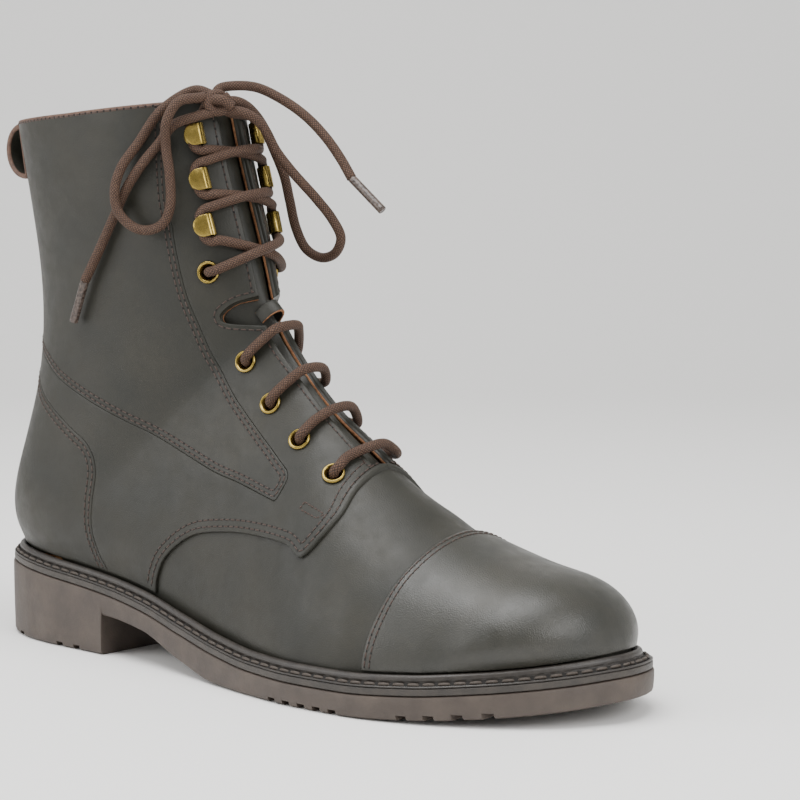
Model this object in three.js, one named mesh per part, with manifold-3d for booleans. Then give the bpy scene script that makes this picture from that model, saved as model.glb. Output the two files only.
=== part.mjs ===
// A right lace-up paddock boot: welted rubber sole, leather upper with a toe cap, quarters,
// leg panels and heel counter, five eyelets and three speed hooks a side, and a tied lace.
// Millimetres, +Z up, toe along +X, inner side of the foot along +Y. The origin lies on the
// ground under the middle of the heel.
import * as THREE from 'three';
import { mergeVertices } from 'three/addons/utils/BufferGeometryUtils.js';
import Module from 'manifold-3d';

const wasm = await Module();
wasm.setup();

// Sizes of the last and of the leg
const LAST_LENGTH = 289;     // heel to toe, at the feather line
const BALL_WIDTH = 96;       // at the feather line
const TOE_TURN = 11.8;       // how far the toe turns to the inner side
const TOE_REACH = 44;        // the rounded toe in front of its centre
const TOE_HEIGHT = 37;
const TOE_SWELL = 0.4;       // how far the wall bulges over the welt
const UPPER_HEIGHT = 195;    // sole to the front of the collar
const LEG_WIDTH = 68;        // across the collar

// Sizes of the sole
const HEEL_HEIGHT = 30;
const FOREFOOT = 8.2;
const TOE_SPRING = 9.2;
const ARCH_HEIGHT = 15.5;
const HEEL_LENGTH = 77.2;    // heel back to heel breast
const SOLE_MARGIN = 5.5;     // sole edge beyond the feather line
const TOE_MARGIN = 7;        // the same at the tip of the toe
const SOLE_CHAMFER = 0.8;
const TREAD_ROUND = 1.5;
const MIDSOLE = 2.6;
const INSOLE = 3;
const WELT_EDGE = 0.5;       // the welt stands back this far from the sole edge
const WELT_SLOPE = 2.2;      // height of the stitched slope
const BEAD_WIDTH = 2.9;
const BEAD_HEIGHT = 1.8;
const LUG_DEPTH = 1.8;
const LUG_WIDTH = 3.6;
const LUG_LENGTH = 13;

// Sizes of the upper's pieces
const WALL = 2.2;
const LEATHER = 1.2;
const TONGUE = 2;
const THROAT_GAP = 11;
const TONGUE_HALF = 24;
const KEEPER_WIDTH = 5.5;
const KEEPER_HALF = 7;
const KEEPER_ARCH = 3.5;
const PULL_WIDTH = 20;
const PULL_HEIGHT = 23;
const PULL_DEPTH = 11;
const PULL_STRAP = 2.4;

// Sizes of the metal and of the lace
const EYELET_FLANGE = 4.4;
const EYELET_BORE = 2.3;
const EYELET_EDGE = 0.9;
const HOOK_WIDTH = 8.4;
const HOOK_REACH = 8;
const HOOK_RISE = 5.2;
const HOOK_SHEET = 0.8;
const LACE = 3.8;

const GAP = 0.3;             // what touching pieces keep between them

// Tables. Lengths along the foot are shares of LAST_LENGTH from the back of the heel, widths
// shares of BALL_WIDTH or LEG_WIDTH, and rises above the seat shares of UPPER_HEIGHT.
const table = (names, ...rows) => {
  const keys = names.split(' ');
  return rows.map((row) => Object.fromEntries(keys.map((key, i) => [key, row[i]])));
};

const FEATHER = table('along lateral medial',
  [0.00, 0.000, 0.000],
  [0.01, 0.124, 0.124],
  [0.03, 0.206, 0.206],
  [0.06, 0.262, 0.262],
  [0.10, 0.300, 0.300],
  [0.15, 0.317, 0.318],
  [0.20, 0.319, 0.320],
  [0.27, 0.326, 0.310],
  [0.35, 0.346, 0.289],
  [0.43, 0.383, 0.277],
  [0.50, 0.426, 0.293],
  [0.58, 0.473, 0.348],
  [0.66, 0.507, 0.415],
  [0.74, 0.513, 0.455],
  [0.82, 0.473, 0.443],
  [0.88, 0.403, 0.395],
  [0.93, 0.314, 0.323],
  [0.97, 0.200, 0.221],
  [0.99, 0.101, 0.129],
  [1.00, 0.000, 0.000]);

// Top and underside of the outsole: each is the forefoot plus shares of heel, arch and spring.
const SOLE = table('along heel arch spring underspring',
  [0.000, 1.000, 1.00, 0.00, 0.00],
  [0.067, 0.963, 1.00, 0.00, 0.00],
  [0.150, 0.870, 1.00, 0.00, 0.00],
  [0.257, 0.725, 1.00, 0.00, 0.00],
  [0.333, 0.569, 0.84, 0.00, 0.00],
  [0.417, 0.320, 0.34, 0.00, 0.00],
  [0.500, 0.124, 0.02, 0.00, 0.00],
  [0.575, 0.022, 0.00, 0.00, 0.00],
  [0.650, 0.000, 0.00, 0.00, 0.00],
  [0.717, 0.000, 0.00, 0.01, 0.00],
  [0.800, 0.000, 0.00, 0.13, 0.10],
  [0.875, 0.000, 0.00, 0.37, 0.32],
  [0.940, 0.000, 0.00, 0.65, 0.60],
  [1.000, 0.000, 0.00, 1.00, 1.00]);

// One row for each section of the last behind the toe, from the toe to the collar: its point on
// the ridge in front, its point down the back, its widest line, its half widths and how full it
// is. Rows before the heel row end on the feather line.
const SECTIONS = table(
  'frontX frontZ backX backZ wideX wideZ lateral medial fullness shoulder heel',
  [0.832, 0.216, 0.832, 0.000, 0.832, 0.000, 0.60, 0.60, 2.25, 0.48, 2.2],
  [0.777, 0.251, 0.777, 0.000, 0.777, 0.000, 0.60, 0.60, 2.05, 0.53, 2.2],
  [0.711, 0.292, 0.711, 0.000, 0.711, 0.000, 0.60, 0.60, 1.95, 0.57, 2.2],
  [0.649, 0.354, 0.645, 0.000, 0.645, 0.000, 0.60, 0.60, 1.90, 0.60, 2.2],
  [0.597, 0.422, 0.569, 0.000, 0.569, 0.000, 0.60, 0.60, 1.85, 0.62, 2.2],
  [0.555, 0.476, 0.486, 0.000, 0.486, 0.000, 0.55, 0.50, 1.80, 0.63, 2.2],
  [0.521, 0.523, 0.396, 0.000, 0.396, 0.000, 0.50, 0.45, 1.80, 0.62, 2.2],
  [0.497, 0.555, 0.299, 0.000, 0.299, 0.000, 0.46, 0.45, 1.80, 0.60, 2.2],
  [0.479, 0.581, 0.022, -0.093, 0.209, 0.000, 0.451, 0.451, 1.85, 0.58, 2.3],
  [0.469, 0.601, 0.000, 0.000, 0.119, 0.000, 0.438, 0.437, 1.90, 0.56, 2.3],
  [0.460, 0.622, -0.022, 0.093, 0.147, 0.130, 0.507, 0.493, 1.95, 0.55, 2.3],
  [0.453, 0.646, -0.002, 0.212, 0.175, 0.257, 0.471, 0.463, 2.00, 0.55, 2.25],
  [0.446, 0.672, 0.021, 0.337, 0.199, 0.373, 0.434, 0.434, 2.00, 0.54, 2.15],
  [0.438, 0.709, 0.030, 0.445, 0.209, 0.493, 0.420, 0.426, 2.00, 0.54, 2.1],
  [0.424, 0.762, 0.028, 0.563, 0.209, 0.611, 0.430, 0.441, 2.00, 0.54, 2.05],
  [0.405, 0.833, 0.017, 0.670, 0.202, 0.712, 0.450, 0.463, 2.00, 0.54, 2.05],
  [0.386, 0.909, 0.003, 0.782, 0.192, 0.818, 0.472, 0.485, 2.00, 0.54, 2.05],
  [0.370, 1.000, -0.012, 0.889, 0.180, 0.930, 0.490, 0.500, 2.00, 0.54, 2.05]);
const TOE_ANGLES = [0, 20, 40, 60, 80];
const TOE_CENTRE = 1 - TOE_REACH / LAST_LENGTH;
const TOE_FORM = { power: 2.4, fullness: 2.2, shoulder: 0.47 };
const HEEL_ROW = TOE_ANGLES.length + 9;
const LAST_ROW = TOE_ANGLES.length + SECTIONS.length - 1;
const THROAT_ROW = TOE_ANGLES.length + 3;
const SEAT_FADE = 40;        // how far up the curve of the sole still shows in the sections
const FEATHER_FADE = 8;

// Seams seen from the side, as shares along the foot and up from the seat.
const TOE_CAP_SEAM = table('along rise',
  [0.752, -0.10], [0.757, 0.055], [0.763, 0.120], [0.768, 0.174], [0.776, 0.235], [0.780, 0.33]);
const QUARTER_SEAM = table('along rise',
  [0.338, -0.06], [0.342, 0.020], [0.348, 0.060], [0.367, 0.110], [0.411, 0.170], [0.470, 0.203],
  [0.530, 0.220], [0.595, 0.222], [0.630, 0.206], [0.656, 0.276], [0.654, 0.335], [0.655, 0.44]);
const LEG_LOW_SEAM = table('along rise',
  [-0.10, 0.475], [0.030, 0.445], [0.087, 0.416], [0.133, 0.388], [0.207, 0.357],
  [0.283, 0.330], [0.416, 0.302], [0.484, 0.299], [0.555, 0.288]);
const LEG_FRONT_SEAM = table('along rise',
  [0.555, 0.288], [0.561, 0.335], [0.535, 0.362], [0.477, 0.409], [0.433, 0.449],
  [0.399, 0.502], [0.380, 0.562], [0.361, 0.632], [0.342, 0.757], [0.333, 0.833], [0.317, 1.10]);
const COUNTER_SEAM = table('along rise',
  [-0.10, 0.440], [0.030, 0.400], [0.082, 0.352], [0.127, 0.323], [0.168, 0.297], [0.206, 0.269],
  [0.221, 0.226], [0.219, 0.162], [0.221, 0.103], [0.231, 0.052], [0.243, 0.014], [0.250, -0.10]);
const NOTCH = table('along rise',
  [0.406, 0.588], [0.414, 0.607], [0.429, 0.628], [0.464, 0.648], [0.474, 0.592], [0.411, 0.577]);

// Where the metal sits on the facings: its rise above the seat and its distance from the
// centre line, as a share of LEG_WIDTH
const EYELETS = table('rise width',
  [0.343, 0.266], [0.396, 0.244], [0.448, 0.210], [0.511, 0.175], [0.669, 0.251]);
const HOOKS = table('rise width', [0.753, 0.238], [0.837, 0.226], [0.920, 0.216]);

const lerp = (a, b, t) => a + (b - a) * t;
const footX = (share) => SOLE_MARGIN + share * LAST_LENGTH;
const shareAt = (x) => (x - SOLE_MARGIN) / LAST_LENGTH;

// A monotone cubic through one column of a table.
function column(rows, key, value) {
  const x = rows.map((row) => row[key]);
  const y = rows.map((row) => row[value]);
  const slope = x.slice(1).map((_, i) => (y[i + 1] - y[i]) / (x[i + 1] - x[i]));
  const tangent = x.map((_, i) => {
    if (i === 0) return slope[0];
    if (i === x.length - 1) return slope[i - 1];
    return slope[i - 1] * slope[i] <= 0 ? 0
      : 2 * slope[i - 1] * slope[i] / (slope[i - 1] + slope[i]);
  });
  return (at) => {
    const s = Math.min(Math.max(at, x[0]), x[x.length - 1]);
    const i = Math.min(x.findLastIndex((v) => v <= s), x.length - 2);
    const h = x[i + 1] - x[i];
    const t = (s - x[i]) / h;
    return y[i] * (1 + 2 * t) * (1 - t) ** 2 + tangent[i] * h * t * (1 - t) ** 2
      + y[i + 1] * t * t * (3 - 2 * t) + tangent[i + 1] * h * t * t * (t - 1);
  };
}

const soleLength = SOLE_MARGIN + LAST_LENGTH + TOE_MARGIN;
const heelShare = column(SOLE, 'along', 'heel');
const archShare = column(SOLE, 'along', 'arch');
const springShare = column(SOLE, 'along', 'spring');
const underShare = column(SOLE, 'along', 'underspring');
const soleTop = (x) => FOREFOOT + heelShare(x / soleLength) * (HEEL_HEIGHT - FOREFOOT)
  + springShare(x / soleLength) * TOE_SPRING;
const soleUnder = (x) => (x <= HEEL_LENGTH ? 0 : archShare(x / soleLength) * ARCH_HEIGHT
  + underShare(x / soleLength) * TOE_SPRING);
const midsoleTop = (x) => soleTop(x) + GAP + MIDSOLE;
const seat = (x) => midsoleTop(x) + GAP;
const centre = (x) => TOE_TURN * Math.max(0, 2 * x / soleLength - 1) ** 2;

// Half widths at the feather line. The angle spreads the rows at the round heel and toe.
const ends = (share) => Math.acos(1 - 2 * Math.min(Math.max(share, 0), 1));
const featherRows = FEATHER.map((row) => ({ ...row, angle: ends(row.along) }));
const lateralHalf = column(featherRows, 'angle', 'lateral');
const medialHalf = column(featherRows, 'angle', 'medial');
const featherHalf = (side, x) => BALL_WIDTH
  * (side < 0 ? lateralHalf : medialHalf)(ends(shareAt(x)));

// The leathers over the upper's wall sink it by their thickness. The bare vamp keeps its height.
const LAID_ON = GAP + LEATHER;
const bareVamp = (u) => THREE.MathUtils.smoothstep(u, 6.3, 7)
  * (1 - THREE.MathUtils.smoothstep(u, 8, 10));

// Sections in millimetres, the toe's first.
const toeRows = TOE_ANGLES.map((degrees) => {
  const angle = THREE.MathUtils.degToRad(degrees);
  const e = 2 / TOE_FORM.power;
  return {
    frontX: footX(TOE_CENTRE) + TOE_REACH * Math.cos(angle) ** e,
    frontZ: TOE_HEIGHT * Math.sin(angle) ** e,
    backX: footX(TOE_CENTRE), backZ: 0, wideX: footX(TOE_CENTRE), wideZ: 0,
    lateral: BALL_WIDTH / 2, medial: BALL_WIDTH / 2,
    fullness: TOE_FORM.fullness, shoulder: TOE_FORM.shoulder, heel: 2.2,
  };
});
const bodyRows = SECTIONS.map((row) => ({
  ...row,
  frontX: footX(row.frontX), backX: footX(row.backX), wideX: footX(row.wideX),
  frontZ: row.frontZ * UPPER_HEIGHT, backZ: row.backZ * UPPER_HEIGHT,
  wideZ: row.wideZ * UPPER_HEIGHT,
  lateral: row.lateral * LEG_WIDTH, medial: row.medial * LEG_WIDTH,
}));
const rows = [...toeRows, ...bodyRows];
const COLUMNS = Object.keys(rows[0]);

// The section at a row number, on a cubic B-spline through the rows.
function section(u) {
  const i = Math.min(Math.floor(u), LAST_ROW - 1);
  const t = u - i;
  const weights = [(1 - t) ** 3, 3 * t ** 3 - 6 * t * t + 4,
    -3 * t ** 3 + 3 * t * t + 3 * t + 1, t ** 3];
  const out = {};
  for (const key of COLUMNS) {
    const at = (k) => {
      if (k < 0) return 2 * rows[0][key] - rows[1][key];
      if (k > LAST_ROW) return 2 * rows[LAST_ROW][key] - rows[LAST_ROW - 1][key];
      return rows[k][key];
    };
    out[key] = weights.reduce((sum, weight, k) => sum + weight * at(i - 1 + k), 0) / 6;
  }
  return out;
}

// Half width of the heel and leg at a rise above the seat. At the seat it is the feather line's.
const legRows = bodyRows.slice(HEEL_ROW - TOE_ANGLES.length);
const lateralLeg = column(legRows, 'wideZ', 'lateral');
const medialLeg = column(legRows, 'wideZ', 'medial');
const HEEL_BLEND = 25;
function legHalf(side, rise) {
  const leg = side < 0 ? lateralLeg : medialLeg;
  const step = featherHalf(side, section(HEEL_ROW).wideX) - leg(0);
  return leg(rise) + step * Math.max(0, 1 - rise / HEEL_BLEND) ** 2;
}

const FOOT_BLEND = 5;        // rows over which the foot's sections take on the leg's widths
function halfWidth(side, u, rise) {
  if (u >= HEEL_ROW) return legHalf(side, rise);
  const foot = featherHalf(side, section(u).wideX);
  const share = THREE.MathUtils.smoothstep(u, HEEL_ROW - FOOT_BLEND, HEEL_ROW);
  return foot + share * (legHalf(side, rise) - legHalf(side, 0));
}

// A point of the last's surface and its way out. v runs from the front ridge (0) over the
// widest line (1) to the back (2); off is the distance out from the surface.
function skin(side, u, v, off = 0) {
  const row = section(u);
  const inFront = v <= 1;
  const q = inFront ? Math.cos(v * Math.PI / 2) : Math.sin((v - 1) * Math.PI / 2);
  const endX = inFront ? row.frontX : row.backX;
  const endRise = inFront ? row.frontZ : row.backZ;
  const x = lerp(row.wideX, endX, q);
  const rise = lerp(row.wideZ, endRise, q);
  const half = halfWidth(side, u, rise);
  const straight = lerp(seat(row.wideX), seat(endX), q);
  const z = rise + straight + (seat(x) - straight) * Math.exp(-((rise / SEAT_FADE) ** 2));
  let reach = inFront ? half * (1 - q ** row.fullness) ** row.shoulder
    : half * (1 - q ** row.heel) ** (1 / row.heel);
  const low = Math.exp(-((rise / FEATHER_FADE) ** 2));
  reach += (featherHalf(side, x) - reach) * low;
  if (v === 0 || v === 2) reach = 0;
  const along = new THREE.Vector3(endX - row.wideX, 0, endRise - row.wideZ);
  const depth = Math.max(along.length(), 1);
  const out = along.multiplyScalar(q / (depth * depth));
  out.y = side * reach / (half * half);
  out.normalize();
  const above = Math.max(0, rise - BEAD_HEIGHT - WELT_SLOPE) / 12;
  const ahead = THREE.MathUtils.smoothstep(x, footX(0.3), footX(0.5));
  const swell = TOE_SWELL * ahead * above * Math.exp(1 - above);
  const point = new THREE.Vector3(x, centre(x) + side * reach, z);
  return { point: point.addScaledVector(out, off + swell - LAID_ON * (1 - bareVamp(u))), out };
}

// The v at which the surface lies a given distance from the centre line.
function vAtWidth(side, u, width) {
  const row = section(u);
  let q = 1;
  for (let i = 0; i < 6; i += 1) {
    const half = halfWidth(side, u, lerp(row.wideZ, row.frontZ, q));
    q = (1 - (width / half) ** (1 / row.shoulder)) ** (1 / row.fullness);
  }
  return Math.acos(q) * 2 / Math.PI;
}

// The row, going up the throat, at which the surface at a distance from the centre line gets
// past what is asked
function rowWhere(side, width, past) {
  let low = THROAT_ROW;
  let high = LAST_ROW;
  for (let i = 0; i < 30; i += 1) {
    const u = (low + high) / 2;
    if (past(skin(side, u, vAtWidth(side, u, width)).point)) high = u;
    else low = u;
  }
  return low;
}

// The place on a facing at a rise above the seat and a distance from the centre line
function facingPlace(side, rise, width) {
  const low = rowWhere(side, width, (p) => p.z - seat(p.x) > rise * UPPER_HEIGHT);
  const v = vAtWidth(side, low, width);
  const place = (du, dv) => skin(side, low + du, v + dv).point;
  const up = place(0.05, 0).sub(place(-0.05, 0)).normalize();
  const round = place(0, 0.01).sub(place(0, -0.01));
  const out = up.clone().cross(round).multiplyScalar(-side).normalize();
  return { point: place(0, 0), out, up };
}

// A patch of the skin as quads of (side, u, v), both sides joined at the ridge.
function patch(us, frontSteps, backSteps, firstV) {
  const quads = [];
  for (const side of [-1, 1]) {
    for (let i = 0; i < us.length - 1; i += 1) {
      const strip = (u) => {
        const v0 = firstV(side, u);
        return (k) => (k <= frontSteps ? lerp(v0, 1, k / frontSteps)
          : 1 + (k - frontSteps) / backSteps);
      };
      const here = strip(us[i]);
      const next = strip(us[i + 1]);
      const steps = us[i] >= HEEL_ROW ? frontSteps + backSteps : frontSteps;
      for (let k = 0; k < steps; k += 1) {
        const quad = [[side, us[i], here(k)], [side, us[i + 1], next(k)],
          [side, us[i + 1], next(k + 1)], [side, us[i], here(k + 1)]];
        quads.push(side < 0 ? quad : quad.reverse());
      }
    }
  }
  return quads;
}

// A closed wall between two distances from the skin.
function wallOf(quads, inner, outer) {
  const ids = new Map();
  const places = [];
  const idOf = (place) => {
    const key = skin(...place).point.toArray().map((c) => Math.round(c * 100) + 0).join();
    if (!ids.has(key)) {
      ids.set(key, places.length);
      places.push(place);
    }
    return ids.get(key);
  };
  const faces = [];
  for (const quad of quads) {
    const [a, b, c, d] = quad.map(idOf);
    for (const face of [[a, b, c], [a, c, d]]) {
      if (new Set(face).size === 3) faces.push(face);
    }
  }
  const edges = new Set(faces.flatMap(([a, b, c]) => [`${a},${b}`, `${b},${c}`, `${c},${a}`]));
  const count = places.length;
  const triangles = faces.flatMap(([a, b, c]) => [[a, b, c], [c + count, b + count, a + count]]);
  for (const edge of edges) {
    const [a, b] = edge.split(',').map(Number);
    if (!edges.has(`${b},${a}`)) triangles.push([b, a, a + count], [b, a + count, b + count]);
  }
  const points = [outer, inner].flatMap((off) => places.map((p) => skin(...p, off).point));
  return solid(points, triangles);
}

// Manifold and three.js forms of a closed mesh.
function solid(points, triangles) {
  const build = (faces) => new wasm.Manifold(new wasm.Mesh({
    numProp: 3,
    vertProperties: new Float32Array(points.flatMap((p) => p.toArray())),
    triVerts: new Uint32Array(faces.flat()),
  }));
  const made = build(triangles);
  return made.volume() > 0 ? made : build(triangles.map(([a, b, c]) => [a, c, b]));
}

function solidOf(geometry) {
  const bare = geometry.index ? geometry.toNonIndexed() : geometry.clone();
  bare.deleteAttribute('normal');
  bare.deleteAttribute('uv');
  const merged = mergeVertices(bare, 1e-4);
  const made = new wasm.Mesh({
    numProp: 3,
    vertProperties: new Float32Array(merged.attributes.position.array),
    triVerts: new Uint32Array(merged.index.array),
  });
  return new wasm.Manifold(made);
}

// Cuts leave slivers: what is flatter than this goes.
const SLIVER = 0.13;
const SLIVER_OF_FLATS = 0.01;
function geometryOf(manifold, sliver = SLIVER) {
  const mesh = manifold.asOriginal().simplify(sliver).getMesh();
  const geometry = new THREE.BufferGeometry();
  geometry.setAttribute('position', new THREE.BufferAttribute(mesh.vertProperties.slice(), 3));
  geometry.setIndex(new THREE.BufferAttribute(mesh.triVerts.slice(), 1));
  geometry.computeVertexNormals();
  return geometry;
}

// Materials
const finish = (color, roughness, metalness = 0) => new THREE.MeshStandardMaterial(
  { color, roughness, metalness, flatShading: true });
const OLIVE = finish('#55564f', 0.5);
const CAP = finish('#3a3b36', 0.3);
const TAN = finish('#9a6a40', 0.7);
const RUBBER = finish('#5f544e', 0.75);
const EDGE = finish('#5b5650', 0.6);
const BRASS = finish('#a08a4a', 0.35, 1);
const WAXED = finish('#5f463c', 0.6);

const boot = new THREE.Group();
boot.position.x = -HEEL_LENGTH / 2;
function add(name, geometry, material) {
  const mesh = new THREE.Mesh(geometry, material);
  mesh.name = name;
  boot.add(mesh);
}

// Outline of the sole: stations along the foot, each with a lateral and a medial point and the
// way out in plan.
const STATIONS = 28;
const stationShares = Array.from({ length: STATIONS + 1 },
  (_, i) => (1 - Math.cos(Math.PI * i / STATIONS)) / 2);
const breast = shareAt(HEEL_LENGTH);
const BREAST_SLOPE = 0.4;
const soleShares = [...stationShares.filter((s) => Math.abs(s - breast) > 0.01),
  breast, breast + BREAST_SLOPE / LAST_LENGTH].sort((a, b) => a - b);

const soleMargin = (share) => lerp(SOLE_MARGIN, TOE_MARGIN,
  THREE.MathUtils.smoothstep(share, 0.8, 1));
function edgePoint(side, share, off) {
  const point = (s) => {
    const x = footX(s);
    return new THREE.Vector2(x, centre(x) + side * featherHalf(side, x));
  };
  if (share <= 0) return new THREE.Vector2(footX(0) - off, 0);
  if (share >= 1) return point(1).add(new THREE.Vector2(off, 0));
  const step = Math.min(0.004, share / 2, (1 - share) / 2);
  const ahead = point(share + step).sub(point(share - step)).normalize();
  return point(share).add(new THREE.Vector2(-ahead.y, ahead.x).multiplyScalar(side * off));
}

// A loft of the sole's outline: profile gives, from the top round the side to the underside,
// how high each line lies, and how far out from the feather line or in from the sole's edge.
function soleLoft(shares, profile) {
  const rings = shares.map((share) => {
    const line = (side) => profile.map(({ off, inside, height }) => {
      const p = edgePoint(side, share, off ?? soleMargin(share) - inside);
      return new THREE.Vector3(p.x, p.y, height(footX(share)));
    });
    return [...line(-1), ...line(1).reverse()];
  });
  return loft(rings);
}

// A closed loft through rings of equally many points. A ring whose halves fall on each other
// closes its end by itself.
function loft(rings) {
  const count = rings[0].length;
  const points = [];
  const ids = new Map();
  const idOf = (p) => {
    const key = p.toArray().map((c) => Math.round(c * 1000) + 0).join();
    if (!ids.has(key)) {
      ids.set(key, points.length);
      points.push(p);
    }
    return ids.get(key);
  };
  const numbered = rings.map((ring) => ring.map(idOf));
  const triangles = [];
  const keep = (...face) => {
    if (new Set(face).size === 3) triangles.push(face);
  };
  for (let i = 0; i < rings.length - 1; i += 1) {
    for (let k = 0; k < count; k += 1) {
      const [a, b] = [numbered[i][k], numbered[i][(k + 1) % count]];
      const [c, d] = [numbered[i + 1][(k + 1) % count], numbered[i + 1][k]];
      keep(a, b, c);
      keep(a, c, d);
    }
  }
  const flat = (ring, turn) => {
    if (new Set(ring).size < ring.length) return;
    for (let k = 0; k < count / 2 - 1; k += 1) {
      const quad = [ring[k], ring[k + 1], ring[count - 2 - k], ring[count - 1 - k]];
      const [a, b, c, d] = turn ? quad : quad.reverse();
      keep(a, b, c);
      keep(a, c, d);
    }
  };
  flat(numbered[0], false);
  flat(numbered[rings.length - 1], true);
  return solid(points, triangles);
}

// Outsole with heel block, arch, toe spring and the lugs of its edges
const outsoleBlank = soleLoft(soleShares, [
  { inside: SOLE_CHAMFER, height: soleTop },
  { inside: 0, height: (x) => soleTop(x) - SOLE_CHAMFER },
  { inside: 0.3, height: (x) => soleUnder(x) + TREAD_ROUND },
  { inside: TREAD_ROUND, height: soleUnder }]);
const LUGS = table('along count pitch', [0.04, 2, 0.03], [0.16, 2, 0.035], [0.625, 5, 0.025],
  [0.815, 4, 0.03]);
function lugGrooves() {
  const grooves = [];
  for (const row of LUGS) {
    for (let i = 0; i < row.count; i += 1) {
      for (const side of [-1, 1]) {
        const share = row.along + i * row.pitch;
        const edge = edgePoint(side, share, soleMargin(share));
        const groove = new THREE.BoxGeometry(LUG_WIDTH, LUG_LENGTH, 2 * LUG_DEPTH);
        groove.translate(edge.x, edge.y, soleUnder(edge.x));
        grooves.push(solidOf(groove));
      }
    }
  }
  return grooves;
}
add('outsole', geometryOf(lugGrooves().reduce((sole, groove) => sole.subtract(groove),
  outsoleBlank), SLIVER_OF_FLATS), RUBBER);

// Midsole: the plain strip above the outsole
add('midsole', geometryOf(soleLoft(stationShares, [
  { inside: WELT_EDGE, height: midsoleTop },
  { inside: WELT_EDGE, height: (x) => soleTop(x) + GAP }])), EDGE);

// The upper: a wall round the last, open at the collar, the throat and underneath
const throatV = (side, u) => (u <= THROAT_ROW ? 0 : vAtWidth(side, u, THROAT_GAP / 2));
const upperRows = [0, 0.8, 1.6, 2.4, 3.2, 4, 5, 6, 7, 8, 8.4, 9, 10, 10.5, 11, 11.5, 12, 12.5, 13, 13.5, 14, 14.35, 14.7,
  15.2, 16, 17, 18, 19, 20, 21, 22];
const FRONT_STEPS = 7;
const BACK_STEPS = 5;
const upperPatch = patch(upperRows, FRONT_STEPS, BACK_STEPS, throatV);

// A prism across the boot over an outline seen from the side
function across(outline, from = -200, to = 200) {
  const shape = new THREE.Shape(outline);
  const prism = new THREE.ExtrudeGeometry(shape, { depth: to - from, bevelEnabled: false });
  prism.rotateX(Math.PI / 2);
  prism.translate(0, to, 0);
  return solidOf(prism);
}
const sidePoint = ({ along, rise }) => {
  const x = footX(along);
  return new THREE.Vector2(x, seat(x) + rise * UPPER_HEIGHT);
};
// A seam as a smooth line in side view, moved sideways by shift
function seamLine(rowsOfSeam, shift = 0, steps = 2) {
  const points = rowsOfSeam.map(sidePoint);
  const fine = new THREE.SplineCurve(points).getPoints(steps * (points.length - 1));
  return fine.map((p, i) => {
    const ahead = fine[Math.min(i + 1, fine.length - 1)].clone()
      .sub(fine[Math.max(i - 1, 0)]).normalize();
    return p.clone().add(new THREE.Vector2(-ahead.y, ahead.x).multiplyScalar(shift));
  });
}
const FAR = 400;
const corner = (x, z) => new THREE.Vector2(x, z);

const notch = across(NOTCH.map(sidePoint));

const SIDES = table('name side', ['lateral', -1], ['medial', 1]);
const fittings = (kind, places) => SIDES.flatMap(({ name, side }) => places.map(
  ({ rise, width }, i) => ({ name: `${kind}_${name}_${i + 1}`, side,
    ...facingPlace(side, rise, width * LEG_WIDTH) })));
const eyelets = fittings('eyelet', EYELETS);
const hooks = fittings('hook', HOOKS);

// Places a geometry made along +Z on the skin, its Y axis along the facing
function seatOn({ point, out, up }, height) {
  const x = up.clone().cross(out).normalize();
  const y = out.clone().cross(x);
  return new THREE.Matrix4().makeBasis(x, y, out)
    .setPosition(point.clone().addScaledVector(out, height));
}
const ROUND = 10;
const holes = eyelets.map((place) => {
  const drill = new THREE.CylinderGeometry(EYELET_BORE + EYELET_EDGE + GAP,
    EYELET_BORE + EYELET_EDGE + GAP, 16, ROUND);
  drill.rotateX(Math.PI / 2);
  return solidOf(drill.applyMatrix4(seatOn(place, 0)));
});
const pierced = (leather) => [notch, ...holes].reduce((left, cut) => left.subtract(cut), leather);

add('upper', geometryOf(pierced(wallOf(upperPatch, -WALL, 0))), OLIVE);

// Insole inside the wall
const INSOLE_CLEARANCE = 0.7;
add('insole', geometryOf(soleLoft(stationShares, [
  { off: -LAID_ON - WALL - INSOLE_CLEARANCE, height: (x) => seat(x) + INSOLE },
  { off: -LAID_ON - WALL - INSOLE_CLEARANCE, height: seat }])), TAN);

// Welt: stitched slope and bead round the upper, cut to fit it
const weltTop = (x) => midsoleTop(x) + GAP + WELT_SLOPE;
const weltBlank = soleLoft(stationShares, [
  { off: 0, height: (x) => weltTop(x) + BEAD_HEIGHT },
  { off: BEAD_WIDTH - 0.8, height: (x) => weltTop(x) + BEAD_HEIGHT },
  { off: BEAD_WIDTH, height: (x) => weltTop(x) + BEAD_HEIGHT / 2 },
  { off: BEAD_WIDTH, height: weltTop },
  { inside: WELT_EDGE, height: (x) => midsoleTop(x) + 2 * GAP },
  { inside: WELT_EDGE, height: (x) => midsoleTop(x) + GAP }]);
const CORE = 60;
const lastCore = soleLoft(stationShares, [
  { off: GAP - LAID_ON, height: (x) => seat(x) + CORE },
  { off: GAP - LAID_ON, height: (x) => seat(x) - CORE }]);
add('welt', geometryOf(weltBlank.subtract(lastCore)
  .subtract(wallOf(patch(upperRows, FRONT_STEPS, BACK_STEPS, () => 0), -4, GAP))), EDGE);

// Overlays: all are cut from one skin of leather round the upper
const overlay = pierced(wallOf(upperPatch, GAP, GAP + LEATHER));
const beadLine = stationShares.map((share) => corner(footX(share),
  seat(footX(share)) + WELT_SLOPE + BEAD_HEIGHT + GAP));
const aboveBead = across([corner(-FAR, beadLine[0].y), ...beadLine,
  corner(FAR + LAST_LENGTH, beadLine[beadLine.length - 1].y),
  corner(FAR + LAST_LENGTH, FAR), corner(-FAR, FAR)]);
const skinAbove = overlay.intersect(aboveBead);
const sideOf = (side) => across([corner(-FAR, -FAR), corner(2 * FAR, -FAR), corner(2 * FAR, FAR),
  corner(-FAR, FAR)], ...(side < 0 ? [-FAR, -GAP / 2] : [GAP / 2, FAR]));

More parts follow.
